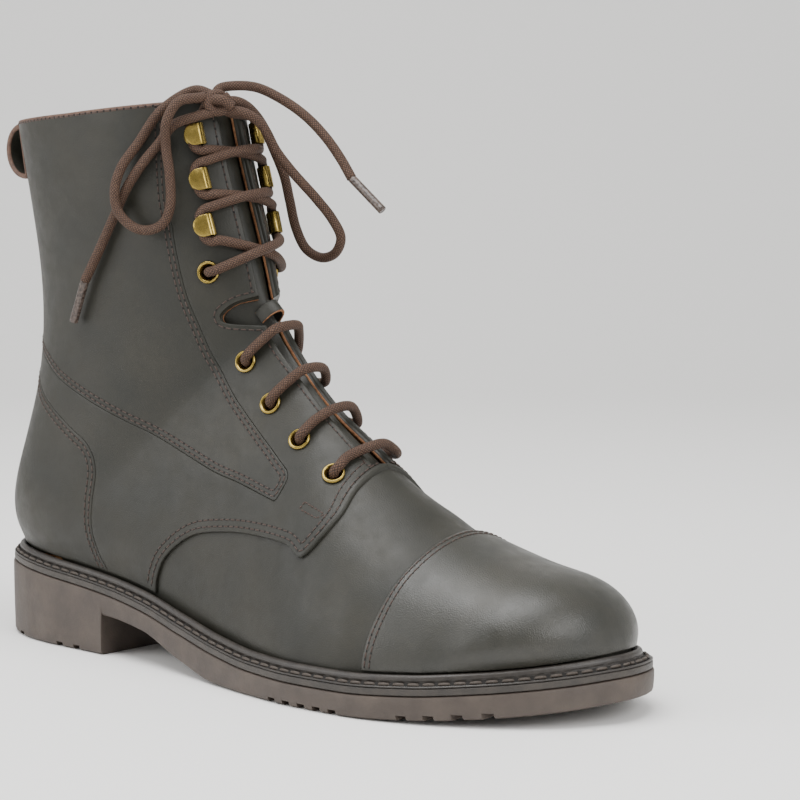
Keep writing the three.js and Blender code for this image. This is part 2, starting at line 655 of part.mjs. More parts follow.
const inFrontOfCap = (shift) => across([...seamLine(TOE_CAP_SEAM, shift),
  corner(2 * FAR, FAR), corner(2 * FAR, -FAR)]);
const behindQuarter = across([...seamLine(QUARTER_SEAM), corner(footX(0.5), FAR),
  corner(-FAR, FAR), corner(-FAR, -FAR)]);
const legOutline = (shift) => across([...seamLine(LEG_LOW_SEAM, shift),
  ...seamLine(LEG_FRONT_SEAM, shift).slice(1), corner(-FAR, FAR)]);
const counterOutline = (shift) => across([...seamLine(COUNTER_SEAM, shift),
  corner(-FAR, -FAR)]);

add('toe_cap', geometryOf(skinAbove.intersect(inFrontOfCap(0))), CAP);
add('heel_counter', geometryOf(skinAbove.intersect(counterOutline(0))), OLIVE);
for (const { name, side } of SIDES) {
  const half = sideOf(side);
  add(`leg_${name}`, geometryOf(skinAbove.intersect(half).intersect(legOutline(0))), OLIVE);
  add(`quarter_${name}`, geometryOf(skinAbove.intersect(half).intersect(behindQuarter)
    .subtract(legOutline(-GAP)).subtract(counterOutline(GAP))), OLIVE);
}

// Tongue under the facings
const tongueRows = upperRows.filter((u) => u >= THROAT_ROW - 2);
const tongueQuads = [];
const TONGUE_STEPS = 4;
for (const side of [-1, 1]) {
  for (let i = 0; i < tongueRows.length - 1; i += 1) {
    for (let k = 0; k < TONGUE_STEPS; k += 1) {
      const at = (u, step) => [side, u,
        vAtWidth(side, u, TONGUE_HALF) * step / TONGUE_STEPS];
      const quad = [at(tongueRows[i], k), at(tongueRows[i + 1], k),
        at(tongueRows[i + 1], k + 1), at(tongueRows[i], k + 1)];
      tongueQuads.push(side < 0 ? quad : quad.reverse());
    }
  }
}
const TONGUE_CLEARANCE = 1;
const tongueTop = -WALL - TONGUE_CLEARANCE;
add('tongue', geometryOf(wallOf(tongueQuads, tongueTop - TONGUE, tongueTop)), OLIVE);

// Eyelets: a flanged ring through the leather
const FLANGE_TOP = LAID_ON + GAP + 0.9;
const eyeletProfile = [[EYELET_BORE, -WALL], [EYELET_BORE + EYELET_EDGE, -WALL],
  [EYELET_BORE + EYELET_EDGE, LAID_ON + GAP], [EYELET_FLANGE, LAID_ON + GAP],
  [EYELET_FLANGE - 0.5, FLANGE_TOP], [EYELET_BORE + 0.3, FLANGE_TOP]];
for (const place of eyelets) {
  const profile = [...eyeletProfile, eyeletProfile[0]].map(([r, z]) => corner(r, z));
  const ring = new THREE.LatheGeometry(profile, ROUND);
  ring.rotateX(Math.PI / 2);
  add(place.name, geometryOf(solidOf(ring.applyMatrix4(seatOn(place, 0))), SLIVER_OF_FLATS),
    BRASS);
}

// Speed hooks: a strip of brass bent back over itself at the throat, round at its free end
const hookBack = -HOOK_REACH / 2;
const bend = HOOK_RISE / 2;
const BEND_STEPS = 4;
const hookProfile = new THREE.Shape()
  .moveTo(hookBack, 0)
  .lineTo(-hookBack - bend, 0)
  .absarc(-hookBack - bend, bend, bend, -Math.PI / 2, Math.PI / 2)
  .lineTo(hookBack, HOOK_RISE)
  .lineTo(hookBack, HOOK_RISE - HOOK_SHEET)
  .lineTo(-hookBack - bend, HOOK_RISE - HOOK_SHEET)
  .absarc(-hookBack - bend, bend, bend - HOOK_SHEET, Math.PI / 2, -Math.PI / 2, true)
  .lineTo(hookBack, HOOK_SHEET);
const hookPlan = new THREE.Shape()
  .moveTo(-hookBack + 1, -HOOK_WIDTH / 2)
  .lineTo(-hookBack + 1, HOOK_WIDTH / 2)
  .lineTo(0, HOOK_WIDTH / 2)
  .absellipse(0, 0, -hookBack, HOOK_WIDTH / 2, Math.PI / 2, 3 * Math.PI / 2);
function hookSolid() {
  const strip = new THREE.ExtrudeGeometry(hookProfile,
    { depth: HOOK_WIDTH + 2, bevelEnabled: false, curveSegments: BEND_STEPS });
  strip.rotateX(Math.PI / 2);
  strip.translate(0, HOOK_WIDTH / 2 + 1, 0);
  const plan = new THREE.ExtrudeGeometry(hookPlan,
    { depth: HOOK_RISE + 2, bevelEnabled: false, curveSegments: BEND_STEPS });
  plan.translate(0, 0, -1);
  return solidOf(strip).intersect(solidOf(plan));
}
for (const place of hooks) {
  const turn = new THREE.Matrix4().makeRotationZ(place.side < 0 ? 0 : Math.PI);
  const matrix = seatOn(place, LAID_ON + GAP).multiply(turn);
  add(place.name, geometryOf(hookSolid().transform(matrix.toArray()), SLIVER_OF_FLATS), BRASS);
}

// Keeper: a strap arched over the tongue in the notch of the facings
const KEEPER_RISE = 0.618;
const KEEPER_STEPS = 8;
const keeperRow = rowWhere(1, 0.5, (p) => p.z - seat(p.x) > KEEPER_RISE * UPPER_HEIGHT);
const keeperRings = Array.from({ length: KEEPER_STEPS + 1 }, (_, i) => {
  const width = lerp(-KEEPER_HALF, KEEPER_HALF, i / KEEPER_STEPS);
  const side = width < 0 ? -1 : 1;
  const { point, out } = skin(side, keeperRow, vAtWidth(side, keeperRow, Math.abs(width)));
  const { out: forward } = skin(side, keeperRow, 0);
  const along = new THREE.Vector3(forward.z, 0, -forward.x).multiplyScalar(KEEPER_WIDTH / 2);
  const arch = KEEPER_ARCH * (1 - (width / KEEPER_HALF) ** 2);
  const at = (height, turn) => point.clone().addScaledVector(out, height)
    .addScaledVector(along, turn);
  const under = tongueTop + 2.5 * GAP + arch;
  return [at(under, -1), at(under + LEATHER, -1), at(under + LEATHER, 1), at(under, 1)];
});
add('tongue_keeper', geometryOf(loft(keeperRings), SLIVER_OF_FLATS), OLIVE);

// Pull loop: a doubled strap that stands out behind the collar
const pullTop = skin(1, LAST_ROW, 2, LAID_ON + GAP).point;
const pullUp = pullTop.clone().sub(skin(1, LAST_ROW - 2, 2, LAID_ON + GAP).point).normalize();
const pullOut = new THREE.Vector3(-pullUp.z, 0, pullUp.x);
const pull = new THREE.Shape().absellipse(0, 0, PULL_HEIGHT / 2, PULL_DEPTH, 0, Math.PI);
pull.holes.push(new THREE.Path().absellipse(0, LEATHER, PULL_HEIGHT / 2 - PULL_STRAP,
  PULL_DEPTH - PULL_STRAP - LEATHER, 0, Math.PI));
const strap = new THREE.ExtrudeGeometry(pull,
  { depth: PULL_WIDTH, bevelEnabled: false, curveSegments: 14 });
strap.translate(-PULL_HEIGHT / 2, 0, -PULL_WIDTH / 2);
strap.applyMatrix4(new THREE.Matrix4().makeBasis(pullUp, pullOut,
  pullUp.clone().cross(pullOut)).setPosition(pullTop));
add('pull_loop', geometryOf(solidOf(strap), SLIVER_OF_FLATS), OLIVE);

// Lace across the throat: straight bars between the eyelets
const laceRadius = LACE / 2;
const LACE_SIDES = 8;
const laceRound = new THREE.Shape().absarc(0, 0, laceRadius, 0, 2 * Math.PI);
function laceTube(points, steps) {
  const tube = new THREE.ExtrudeGeometry(laceRound, { steps, bevelEnabled: false,
    extrudePath: new THREE.CatmullRomCurve3(points), curveSegments: LACE_SIDES / 2 });
  return solidOf(tube);
}
const overFlange = FLANGE_TOP + 4 * GAP + laceRadius;
const overFacing = LAID_ON + 2 * GAP + laceRadius;
const BAR_STEPS = 10;
const eyelet = (side, i) => eyelets.find((e) => e.side === side && e.name.endsWith(`_${i}`));
for (let i = 1; i < EYELETS.length; i += 1) {
  const from = eyelet(-1, i);
  const width = EYELETS[i - 1].width * LEG_WIDTH;
  const above = (side, distance, height) => {
    const row = rowWhere(side, distance, (p) => p.sub(from.point)
      .dot(new THREE.Vector3(from.up.x, 0, from.up.z)) > 0);
    return skin(side, row, vAtWidth(side, row, distance), height).point;
  };
  const half = (side) => [above(side, width, overFlange), above(side, width - 5, overFacing + 0.5),
    above(side, 4, overFacing)];
  add(`lace_bar_${i}`, geometryOf(laceTube([...half(-1), ...half(1).reverse()], BAR_STEPS),
    SLIVER_OF_FLATS), WAXED);
}

// Crossings: from each fitting to the next hook on the other side. At a hook the strands pass
// below and above the metal.
const besideHook = HOOK_WIDTH / 2 + 2 * GAP + laceRadius;
const underPlate = LAID_ON + GAP + HOOK_RISE / 2;
const strandEnd = ({ point, out, up }, step, height) => point.clone()
  .addScaledVector(up, step).addScaledVector(out, height);
const hook = (side, i) => hooks.find((h) => h.side === side && h.name.endsWith(`_${i}`));
const CROSS_STEPS = 10;
function strand(side, start, end) {
  const over = (s, width, share, height) => {
    const z = lerp(start.z, end.z, share);
    const row = rowWhere(s, width, (p) => p.z > z);
    return skin(s, row, vAtWidth(s, row, width), height).point;
  };
  return laceTube([start, over(side, 6, 0.35, overFacing + 0.6),
    over(-side, 6, 0.65, overFacing + 0.6), end], CROSS_STEPS);
}
for (let i = 1; i <= HOOKS.length; i += 1) {
  const [one, other] = [-1, 1].map((side) => {
    const start = i === 1 ? strandEnd(eyelet(side, EYELETS.length), 0, overFlange)
      : strandEnd(hook(side, i - 1), besideHook, underPlate);
    return strand(side, start, strandEnd(hook(-side, i), -besideHook, underPlate));
  });
  add(`lace_cross_${i}`, geometryOf(one.add(other), SLIVER_OF_FLATS), WAXED);
}

// The bow, in the part's own frame with the toe along +X. Knot, loops and ends are limp lace.
const KNOT = [79.5, -10.5, 214.5];
const KNOT_SIZE = [7, 6, 5.5];
const LOOP_LEFT = [[77, -11, 217.5], [70, -13.5, 219.3], [63, -24, 212], [54.6, -29, 199],
  [50, -33.4, 190], [48.4, -35.5, 181.5], [49.5, -35, 173.5], [54.6, -32, 167.5],
  [60, -29, 166.3], [66, -27, 169], [68.8, -26, 175], [68.4, -25.5, 187], [67, -26, 198],
  [69.5, -28, 207.5], [72.5, -24.6, 214.8], [77, -15, 216.8]];
const END_LEFT = [[79, -13, 211], [75, -18, 209.3], [68.5, -23, 206.3], [62.4, -25.5, 199],
  [56.5, -29, 191], [50, -31.2, 181.5], [45.6, -32, 173.5], [38, -32.6, 161], [31.2, -32.6, 151],
  [27.6, -32.6, 146]];
const AGLET_LEFT = [[27.6, -32.6, 146], [19.4, -31.6, 129.2]];
const LOOP_RIGHT = [[80, -8, 215], [82, -4, 215.2], [81.8, 3, 213], [82, 10, 207], [83.5, 15.5, 196.5],
  [85, 19.5, 186.5], [85, 22.5, 177], [86, 25, 166], [89.5, 27, 158], [97, 28, 154.8],
  [104.2, 28, 157], [108, 27, 163], [105.4, 25, 170], [100.6, 21, 178], [94, 15, 188],
  [90.3, 10, 196], [89.4, 3, 206], [86.5, -3, 210.6], [81, -8, 212]];
const END_RIGHT = [[77, -10, 217], [76, -6, 220], [78.5, 0, 221], [82, 8, 220.3], [89, 14, 216],
  [97.8, 18, 209.6], [105.6, 21, 201.6], [111.5, 23, 193.6], [116.5, 24, 186]];
const AGLET_RIGHT = [[116.5, 24, 186], [131.5, 25, 174]];
const onBoot = (places) => places.map(([x, y, z]) => new THREE.Vector3(x - boot.position.x, y, z));
const LOOP_STEPS = 24;
const END_STEPS = 15;
const AGLET = 3.4;

const ball = new THREE.SphereGeometry(1, 12, 8);
ball.scale(...KNOT_SIZE);
ball.translate(...onBoot([KNOT])[0].toArray());
const grown = new THREE.SphereGeometry(1, 12, 8);
grown.scale(...KNOT_SIZE.map((r) => r + GAP));
grown.translate(...onBoot([KNOT])[0].toArray());
const knot = solidOf(ball);
const aroundKnot = solidOf(grown);
add('lace_knot', geometryOf(knot, SLIVER_OF_FLATS), WAXED);
for (const [name, route, steps] of [['lace_loop_left', LOOP_LEFT, LOOP_STEPS],
  ['lace_loop_right', LOOP_RIGHT, LOOP_STEPS], ['lace_end_left', END_LEFT, END_STEPS],
  ['lace_end_right', END_RIGHT, END_STEPS]]) {
  add(name, geometryOf(laceTube(onBoot(route), steps).subtract(aroundKnot), SLIVER_OF_FLATS),
    WAXED);
}
for (const [name, places] of [['aglet_left', AGLET_LEFT], ['aglet_right', AGLET_RIGHT]]) {
  const [from, to] = onBoot(places);
  const along = to.clone().sub(from);
  const sheath = new THREE.CylinderGeometry(AGLET / 2, AGLET / 2, along.length() - 2 * GAP, LACE_SIDES);
  const turn = new THREE.Quaternion().setFromUnitVectors(new THREE.Vector3(0, 1, 0),
    along.clone().normalize());
  sheath.applyQuaternion(turn);
  const middle = from.clone().add(to).multiplyScalar(0.5)
    .addScaledVector(along.normalize(), GAP);
  sheath.translate(...middle.toArray());
  add(name, geometryOf(solidOf(sheath), SLIVER_OF_FLATS), WAXED);
}

export default boot;
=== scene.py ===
# %% [markdown]
# # A paddock boot in waxed leather
# This lesson dresses the solids of a right lace-up boot: leather panels with real edges and
# stitching, a welted rubber sole, brass eyelets and hooks, and a tied waxed lace. The solids are
# loaded first as a fixed frame. Every piece is made in metres in the same frame, and stands where
# its solid stands.

# %% Load the frame
import math

import bpy
import numpy as np
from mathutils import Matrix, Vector
from mathutils.kdtree import KDTree


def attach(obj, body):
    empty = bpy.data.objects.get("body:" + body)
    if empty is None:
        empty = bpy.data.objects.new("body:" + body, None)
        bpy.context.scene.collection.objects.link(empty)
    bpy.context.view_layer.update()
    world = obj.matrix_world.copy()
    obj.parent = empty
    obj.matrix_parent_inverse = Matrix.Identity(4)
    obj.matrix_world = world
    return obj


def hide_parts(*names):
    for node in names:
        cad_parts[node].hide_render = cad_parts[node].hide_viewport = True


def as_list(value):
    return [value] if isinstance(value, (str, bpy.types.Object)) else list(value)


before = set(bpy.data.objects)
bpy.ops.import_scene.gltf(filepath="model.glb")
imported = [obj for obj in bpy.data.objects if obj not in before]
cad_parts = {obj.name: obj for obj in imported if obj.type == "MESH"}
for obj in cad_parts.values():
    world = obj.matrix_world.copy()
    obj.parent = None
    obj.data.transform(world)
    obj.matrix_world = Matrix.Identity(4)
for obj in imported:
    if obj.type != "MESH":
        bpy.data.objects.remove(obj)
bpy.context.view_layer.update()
MM = 0.001

# %% [markdown]
# ## Camera, floor and light
# The boot was photographed from the front outer side, a little above, with a long lens. The camera
# stands at the place that was worked out from the outline of the boot. A photographer would light
# it with large soft boxes, so area lights are used here: one broad light from above for the sheen
# on the toe, one in front on the left for the leg, and a smaller one on the right for the edges.

# %% Camera
CAMERA_PLACE = (0.8146, -0.7300, 0.2139)
CAMERA_TURN = 41.77
CAMERA_HEIGHT = 6.27
LENS = 121.06
SENSOR = 36
BOOT_MIDDLE = Vector((0.11, 0, 0.1))

turn_of_camera, height = math.radians(CAMERA_TURN), math.radians(CAMERA_HEIGHT)
back = Vector((math.sin(turn_of_camera) * math.cos(height),
               -math.cos(turn_of_camera) * math.cos(height), math.sin(height)))
camera = bpy.data.objects.new("camera", bpy.data.cameras.new("camera"))
camera.data.lens = LENS
camera.data.sensor_width = SENSOR
camera.location = CAMERA_PLACE
camera.rotation_euler = back.to_track_quat("Z", "Y").to_euler()
bpy.context.scene.collection.objects.link(camera)
bpy.context.scene.camera = camera
print("camera", round((camera.location - BOOT_MIDDLE).length, 3), "m from the boot")

# %% Lights
def linear(colour):
    """An sRGB hex colour as linear red, green, blue and alpha."""
    parts = [int(colour[i:i + 2], 16) / 255 for i in (1, 3, 5)]
    return tuple(c / 12.92 if c <= 0.04045 else ((c + 0.055) / 1.055) ** 2.4 for c in parts) + (1,)


def area_light(name, place, aim, size, power):
    """A soft box of a width and a height in metres, with its power in watts."""
    light = bpy.data.lights.new(name, "AREA")
    light.shape, light.size, light.size_y, light.energy = "RECTANGLE", size[0], size[1], power
    holder = bpy.data.objects.new(name, light)
    holder.location = place
    holder.rotation_euler = (Vector(place) - Vector(aim)).to_track_quat("Z", "Y").to_euler()
    bpy.context.scene.collection.objects.link(holder)


area_light("light_above", (0.15, -0.25, 1.20), (0.12, 0, 0.06), (1.0, 0.8), 19)
area_light("light_left", (-0.60, -1.00, 0.62), (0.10, 0, 0.08), (1.0, 0.8), 9)
area_light("light_right", (1.15, -0.02, 0.60), (0.12, 0, 0.06), (0.5, 0.6), 7)

world = bpy.data.worlds.new("studio")
bpy.context.scene.world = world
world.use_nodes = True
backdrop = world.node_tree.nodes["Background"]
backdrop.inputs["Color"].default_value = linear("#fafafa")
backdrop.inputs["Strength"].default_value = 0.75
print("lit by", [light.name for light in bpy.data.lights])

# %% [markdown]
# ## A small toolbox for finishes
# Every finish is built from nodes on its principled shader. One helper adds a node with its
# settings and links, so that a finish reads as a list of steps. What most finishes of a boot share
# is added on top of it: a tone that wanders between two colours, as hide, rubber and old brass do,
# and a fine grain that breaks the sheen. Both are noises, since nothing on the boot repeats.

# %% Helpers for finishes
class Finish:
    """A material, its shader and the place on the boot that its patterns follow."""

    def __init__(self, name, colour, roughness, ior=1.5, **values):
        self.material = bpy.data.materials.new(name)
        self.material.use_nodes = True
        self.tree = self.material.node_tree
        self.shader = self.tree.nodes["Principled BSDF"]
        self.shader.inputs["Base Color"].default_value = linear(colour)
        self.shader.inputs["Roughness"].default_value = roughness
        if not values.get("Metallic"):
            self.shader.inputs["IOR"].default_value = ior
        for socket, value in values.items():
            self.shader.inputs[socket].default_value = value
        self.place = self.add("TexCoord", "Object")

    def add(self, kind, output, inputs=None, **settings):
        """Adds one node and gives one of its outputs. An input is a plain value, a hex colour or
        another node's output."""
        made = self.tree.nodes.new("ShaderNode" + kind)
        for key, value in settings.items():
            setattr(made, key, value)
        for socket, value in (inputs or {}).items():
            if isinstance(value, bpy.types.NodeSocket):
                self.tree.links.new(value, made.inputs[socket])
            else:
                made.inputs[socket].default_value = linear(value) if isinstance(value, str) else value
        return made.outputs[output]

    def join(self, value, socket):
        self.tree.links.new(value, self.shader.inputs[socket])

    def wander(self, per_metre, detail, low, high, to_low=0.0, to_high=1.0):
        """A value that wanders over the surface, from one level to another."""
        noise = self.add("TexNoise", "Fac", {"Vector": self.place, "Scale": per_metre,
                                             "Detail": detail, "Roughness": 0.55})
        return self.add("MapRange", "Result", {"Value": noise, "From Min": low, "From Max": high,
                                               "To Min": to_low, "To Max": to_high})

    def grain(self, *layers, normal=None):
        """Raises the surface. Each layer has bumps per metre, detail and depth in metres."""
        for per_metre, detail, depth in layers:
            noise = self.add("TexNoise", "Fac", {"Vector": self.place, "Scale": per_metre,
                                                 "Detail": detail, "Roughness": 0.55})
            inputs = {"Height": noise, "Distance": depth, "Strength": 1.0}
            if normal:
                inputs["Normal"] = normal
            normal = self.add("Bump", "Normal", inputs)
        self.join(normal, "Normal")


# Sockets of a mix of colours: the share, the two colours, and the colour that comes out
MIX_OF, MIXED = (0, 6, 7), 2


def toned(name, colour, roughness, tones, per_metre, *layers, low=0.3, high=0.7, detail=4, **values):
    """A finish whose tone wanders between two colours, with its layers of grain."""
    made = Finish(name, colour, roughness, **values)
    share = made.wander(per_metre, detail, low, high)
    tone = made.add("Mix", MIXED, dict(zip(MIX_OF, (share, *tones))), data_type="RGBA")
    made.join(tone, "Base Color")
    made.grain(*layers)
    return made


# A flat near-black finish: painted shade, laid on the needle holes between stitches and in the welt's
# channel
painted_shade = Finish("pinhole_shadow", "#120f0c", 0.9)
print("the plainest finish is", painted_shade.material.name)

# %% A helper that puts a piece on the boot
def put(name, points, faces, finish, nodes=(), others=(), finish_of=None):
    """A mesh piece in metres that stands for some of the solids. Where it has other finishes too,
    finish_of gives each face the number of its own."""
    mesh = bpy.data.meshes.new(name)
    mesh.from_pydata([tuple(map(float, p)) for p in points], [], [tuple(map(int, f)) for f in faces])
    for each in (finish, *others):
        mesh.materials.append(each.material)
    if others:
        mesh.polygons.foreach_set("material_index", finish_of)
    mesh.validate()
    mesh.polygons.foreach_set("use_smooth", [True] * len(mesh.polygons))
    piece = bpy.data.objects.new(name + "_piece", mesh)
    bpy.context.scene.collection.objects.link(piece)
    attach(piece, "root")
    if nodes:
        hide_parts(*nodes)
    print(name, len(mesh.polygons), "faces")
    return piece


print("pieces ride on root, and stand for the solids that they replace")

# %% [markdown]
# ## The finishes
# The upper is waxed full-grain leather, dark olive with a brown cast. Wax pulls the tone about in
# soft clouds, and a grain of half a millimetre breaks the sheen. Wax has an index of about 1.42,
# and the toe cap is polished smoother. The sole is moulded rubber, the edge of the midsole is
# buffed, and the eyelets and hooks are pressed brass. Photographs of leather could be laid on the
# shapes, but noises at the real size of the grain need none and show no seams.

# %% Leathers
def waxed_leather(name, colour, cloud, roughness, grain, ior):
    """Leather with clouds of wax of 26 mm, a mottle of 2.4 mm and a grain of half a millimetre.
    The eye sees a soft satin sheen that is broken at its edges."""
    leather = Finish(name, colour, roughness, ior)
    clouds, mottle = leather.wander(38, 5, 0.35, 0.68), leather.wander(420, 3, 0.3, 0.7, 0, 0.25)
    tone = leather.add("Mix", MIXED, dict(zip(MIX_OF, (clouds, colour, cloud))), data_type="RGBA")
    tone = leather.add("Mix", MIXED, dict(zip(MIX_OF, (mottle, tone, "#151612"))), data_type="RGBA")
    leather.join(tone, "Base Color")
    leather.join(leather.wander(150, 4, 0.3, 0.7, roughness - 0.06, roughness + 0.08), "Roughness")
    leather.grain((45, 2, 0.0004 * grain), (2000, 2, 0.00013 * grain))
    return leather


olive = waxed_leather("olive_waxed_leather", "#20201a", "#2a2820", 0.47, 0.8, 1.42)
polished = waxed_leather("polished_cap_leather", "#2b2b26", "#33312a", 0.34, 1.0, 1.5)
# Vegetable-tanned lining: dry and light, with hair pores of about 1 mm
tan = toned("tan_lining_leather", "#8a6038", 0.7, ("#7b5230", "#a2764a"), 300, (1100, 4, 0.0002))
# A knife-cut edge shows the fibres of the hide, 0.4 mm apart, and scatters light most of all
cut_edge = toned("cut_leather_edge", "#8a5c3a", 0.75, ("#75492b", "#a87650"), 700,
                 (2500, 3, 0.0002))
# Thin brown calf, turned over the edge of the collar and the edges of the pull loop
binding = toned("brown_binding", "#50392d", 0.6, ("#452f25", "#664a3a"), 500, (2200, 3, 0.00015))
print("leathers:", [made.material.name for made in (olive, polished, tan, cut_edge, binding)])

# %% Rubber, thread and brass
# Moulded rubber keeps the soft waves of its mould, 6 mm long, and a bloom of dust dulls it
rubber = toned("brown_rubber", "#41382f", 0.6, ("#3c332d", "#4b4139"), 90, (160, 3, 0.0004),
               (2200, 3, 0.00012), low=0.35, detail=5, ior=1.52)
# The strip above it is ground on a wheel and inked, so it has a low even sheen
buffed = toned("buffed_sole_edge", "#322d28", 0.5, ("#2b2723", "#3b352f"), 200,
               (1600, 3, 0.00015))
# The welt is oiled leather, rubbed with wax: darker than the strip and a little glossier
waxed_welt = toned("waxed_welt", "#2a2622", 0.42, ("#231f1c", "#322d28"), 240,
                   (1200, 3, 0.00015))
# Twisted linen thread drawn through wax, with a twist of about 0.3 mm
thread = Finish("waxed_thread", "#3b2a22", 0.55)
thread.grain((3500, 2, 0.0001))
welt_thread = Finish("welt_thread", "#3f3730", 0.6)
welt_thread.grain((3000, 2, 0.0002))
# Pressed brass, worn to a dull gold whose gloss changes every 1.4 mm
brass = toned("pressed_brass", "#968044", 0.3, ("#87743a", "#a58f50"), 260, (900, 2, 0.00002),
              low=0.35, Metallic=1.0)
brass.join(brass.wander(700, 4, 0.3, 0.7, 0.2, 0.34), "Roughness")
print("rubber", rubber.material.name, "and metal", brass.material.name)

# %% Braided lace and its tips
# A round braid of waxed cotton. Two waves lean one way and the other, and where both are high a
# strand comes to the top. At this scale ten strands close round the lace, 1.2 mm apart, which is
# a little coarser than real ones, so that the braid shows
BRAID_LEAN, BRAID_SCALE = math.radians(45), 0.3722
lace_finish = Finish("braided_waxed_lace", "#4a342b", 0.7, ior=1.42)
braid_place = lace_finish.add("UVMap", "UV", uv_map="braid")
strands = []
for lean in (BRAID_LEAN, -BRAID_LEAN):
    leant = lace_finish.add("Mapping", "Vector", {"Vector": braid_place, "Rotation": (0, 0, lean)})
    strands.append(lace_finish.add("TexWave", "Fac", {"Vector": leant, "Scale": BRAID_SCALE,
                                                      "Distortion": 0.0}, wave_profile="SIN"))
woven = lace_finish.add("Math", 0, dict(enumerate(strands)), operation="MULTIPLY")
tops = lace_finish.add("MapRange", "Result", {"Value": woven, "From Min": 0.0, "From Max": 0.6})
flecks = lace_finish.wander(2600, 2, 0.58, 0.72, 0, 0.45)
# Dark in the low places between strands and lighter on their tops: painted shade in the gaps of the
# braid, over the lace's brown
lace_tone = lace_finish.add("Mix", MIXED, dict(zip(MIX_OF, (tops, "#2a1b13", "#614635"))),
                            data_type="RGBA")
lace_tone = lace_finish.add("Mix", MIXED, dict(zip(MIX_OF, (flecks, lace_tone, "#927661"))),
                            data_type="RGBA")
lace_finish.join(lace_tone, "Base Color")
raised = lace_finish.add("Bump", "Normal", {"Height": woven, "Distance": 0.0003, "Strength": 1.0})
lace_finish.grain((5000, 2, 0.0001), normal=raised)
# The tips are clear film shrunk on to the lace, so the brown below shows through its gloss
tip = toned("clear_lace_tip", "#3c322d", 0.2, ("#2f2723", "#5a4d46"), 900, (700, 2, 0.0003),
            low=0.35, high=0.65, detail=3, ior=1.46)
print("the lace's materials:", lace_finish.material.name, "and", tip.material.name)

# %% [markdown]
# ## The shape of the last
# A boot is built over a last, and every piece of leather lies on its surface. The same tables as in
# the solids describe it here: half widths at the feather line where the upper meets the sole, the
# heights of the sole, and a row of numbers for each section from the toe up to the collar. Lengths
# are in millimetres from the back of the heel, and a cubic joins the rows smoothly.

# %% Sizes and tables of the last
LAST_LENGTH, BALL_WIDTH, UPPER_HEIGHT, LEG_WIDTH = 289, 96, 195, 68
TOE_TURN, TOE_REACH, TOE_HEIGHT, TOE_SWELL = 11.8, 44, 37, 0.4
HEEL_HEIGHT, FOREFOOT, TOE_SPRING, ARCH_HEIGHT, HEEL_LENGTH = 30, 8.2, 9.2, 15.5, 77.2
SOLE_MARGIN, TOE_MARGIN, MIDSOLE, GAP, LEATHER, WALL = 5.5, 7, 2.6, 0.3, 1.2, 2.2
WELT_EDGE, WELT_SLOPE, BEAD_WIDTH, BEAD_HEIGHT = 0.5, 2.2, 2.9, 1.8
THROAT_GAP, LACE = 11, 3.8
LUG_DEPTH, LUG_WIDTH = 1.8, 3.6
LAID_ON = GAP + LEATHER
SOLE_LENGTH = SOLE_MARGIN + LAST_LENGTH + TOE_MARGIN
HEEL_ROW, LAST_ROW, THROAT_ROW = 14, 22, 8
print("the last is", LAST_LENGTH, "mm long and", BALL_WIDTH, "mm wide at the ball")

# %% Tables of the last
# Heights over which one form runs into the next, and the rows where the vamp lies bare
LEG_BLEND, SEAT_BLEND, FEATHER_BLEND, SWELL_HEIGHT = 25, 40, 8, 12
BARE_FROM, BARE_TO = (6.3, 7), (8, 10)

# Columns: share of the last, half widths of the outer and inner side
FEATHER = np.array([
    (0, 0, 0), (.01, .124, .124), (.03, .206, .206), (.06, .262, .262), (.10, .300, .300),
    (.15, .317, .318), (.20, .319, .320), (.27, .326, .310), (.35, .346, .289),
    (.43, .383, .277), (.50, .426, .293), (.58, .473, .348), (.66, .507, .415),
    (.74, .513, .455), (.82, .473, .443), (.88, .403, .395), (.93, .314, .323),
    (.97, .200, .221), (.99, .101, .129), (1, 0, 0)])
# Columns: share of the sole, heel, arch, rise of the toe above and below
SOLE = np.array([
    (0, 1, 1, 0, 0), (.067, .963, 1, 0, 0), (.150, .870, 1, 0, 0), (.257, .725, 1, 0, 0),
    (.333, .569, .84, 0, 0), (.417, .320, .34, 0, 0), (.500, .124, .02, 0, 0),
    (.575, .022, 0, 0, 0), (.650, 0, 0, 0, 0), (.717, 0, 0, .01, 0), (.800, 0, 0, .13, .10),
    (.875, 0, 0, .37, .32), (.940, 0, 0, .65, .60), (1, 0, 0, 1, 1)])
# Columns: front point, back point and widest line (each along and up), half widths of the leg,
# fullness and shoulder of the front, fullness of the back
SECTIONS = np.array([
    (.832, .216, .832, 0, .832, 0, .60, .60, 2.25, .48, 2.2),
    (.777, .251, .777, 0, .777, 0, .60, .60, 2.05, .53, 2.2),
    (.711, .292, .711, 0, .711, 0, .60, .60, 1.95, .57, 2.2),
    (.649, .354, .645, 0, .645, 0, .60, .60, 1.90, .60, 2.2),
    (.597, .422, .569, 0, .569, 0, .60, .60, 1.85, .62, 2.2),
    (.555, .476, .486, 0, .486, 0, .55, .50, 1.80, .63, 2.2),
    (.521, .523, .396, 0, .396, 0, .50, .45, 1.80, .62, 2.2),
    (.497, .555, .299, 0, .299, 0, .46, .45, 1.80, .60, 2.2),
    (.479, .581, .022, -.093, .209, 0, .451, .451, 1.85, .58, 2.3),
    (.469, .601, 0, 0, .119, 0, .438, .437, 1.90, .56, 2.3),
    (.460, .622, -.022, .093, .147, .130, .507, .493, 1.95, .55, 2.3),
    (.453, .646, -.002, .212, .175, .257, .471, .463, 2.00, .55, 2.25),
    (.446, .672, .021, .337, .199, .373, .434, .434, 2.00, .54, 2.15),
    (.438, .709, .030, .445, .209, .493, .420, .426, 2.00, .54, 2.1),
    (.424, .762, .028, .563, .209, .611, .430, .441, 2.00, .54, 2.05),
    (.405, .833, .017, .670, .202, .712, .450, .463, 2.00, .54, 2.05),
    (.386, .909, .003, .782, .192, .818, .472, .485, 2.00, .54, 2.05),
    (.370, 1.0, -.012, .889, .180, .930, .490, .500, 2.00, .54, 2.05)])

print(len(SECTIONS), "sections from the toe box to the collar")

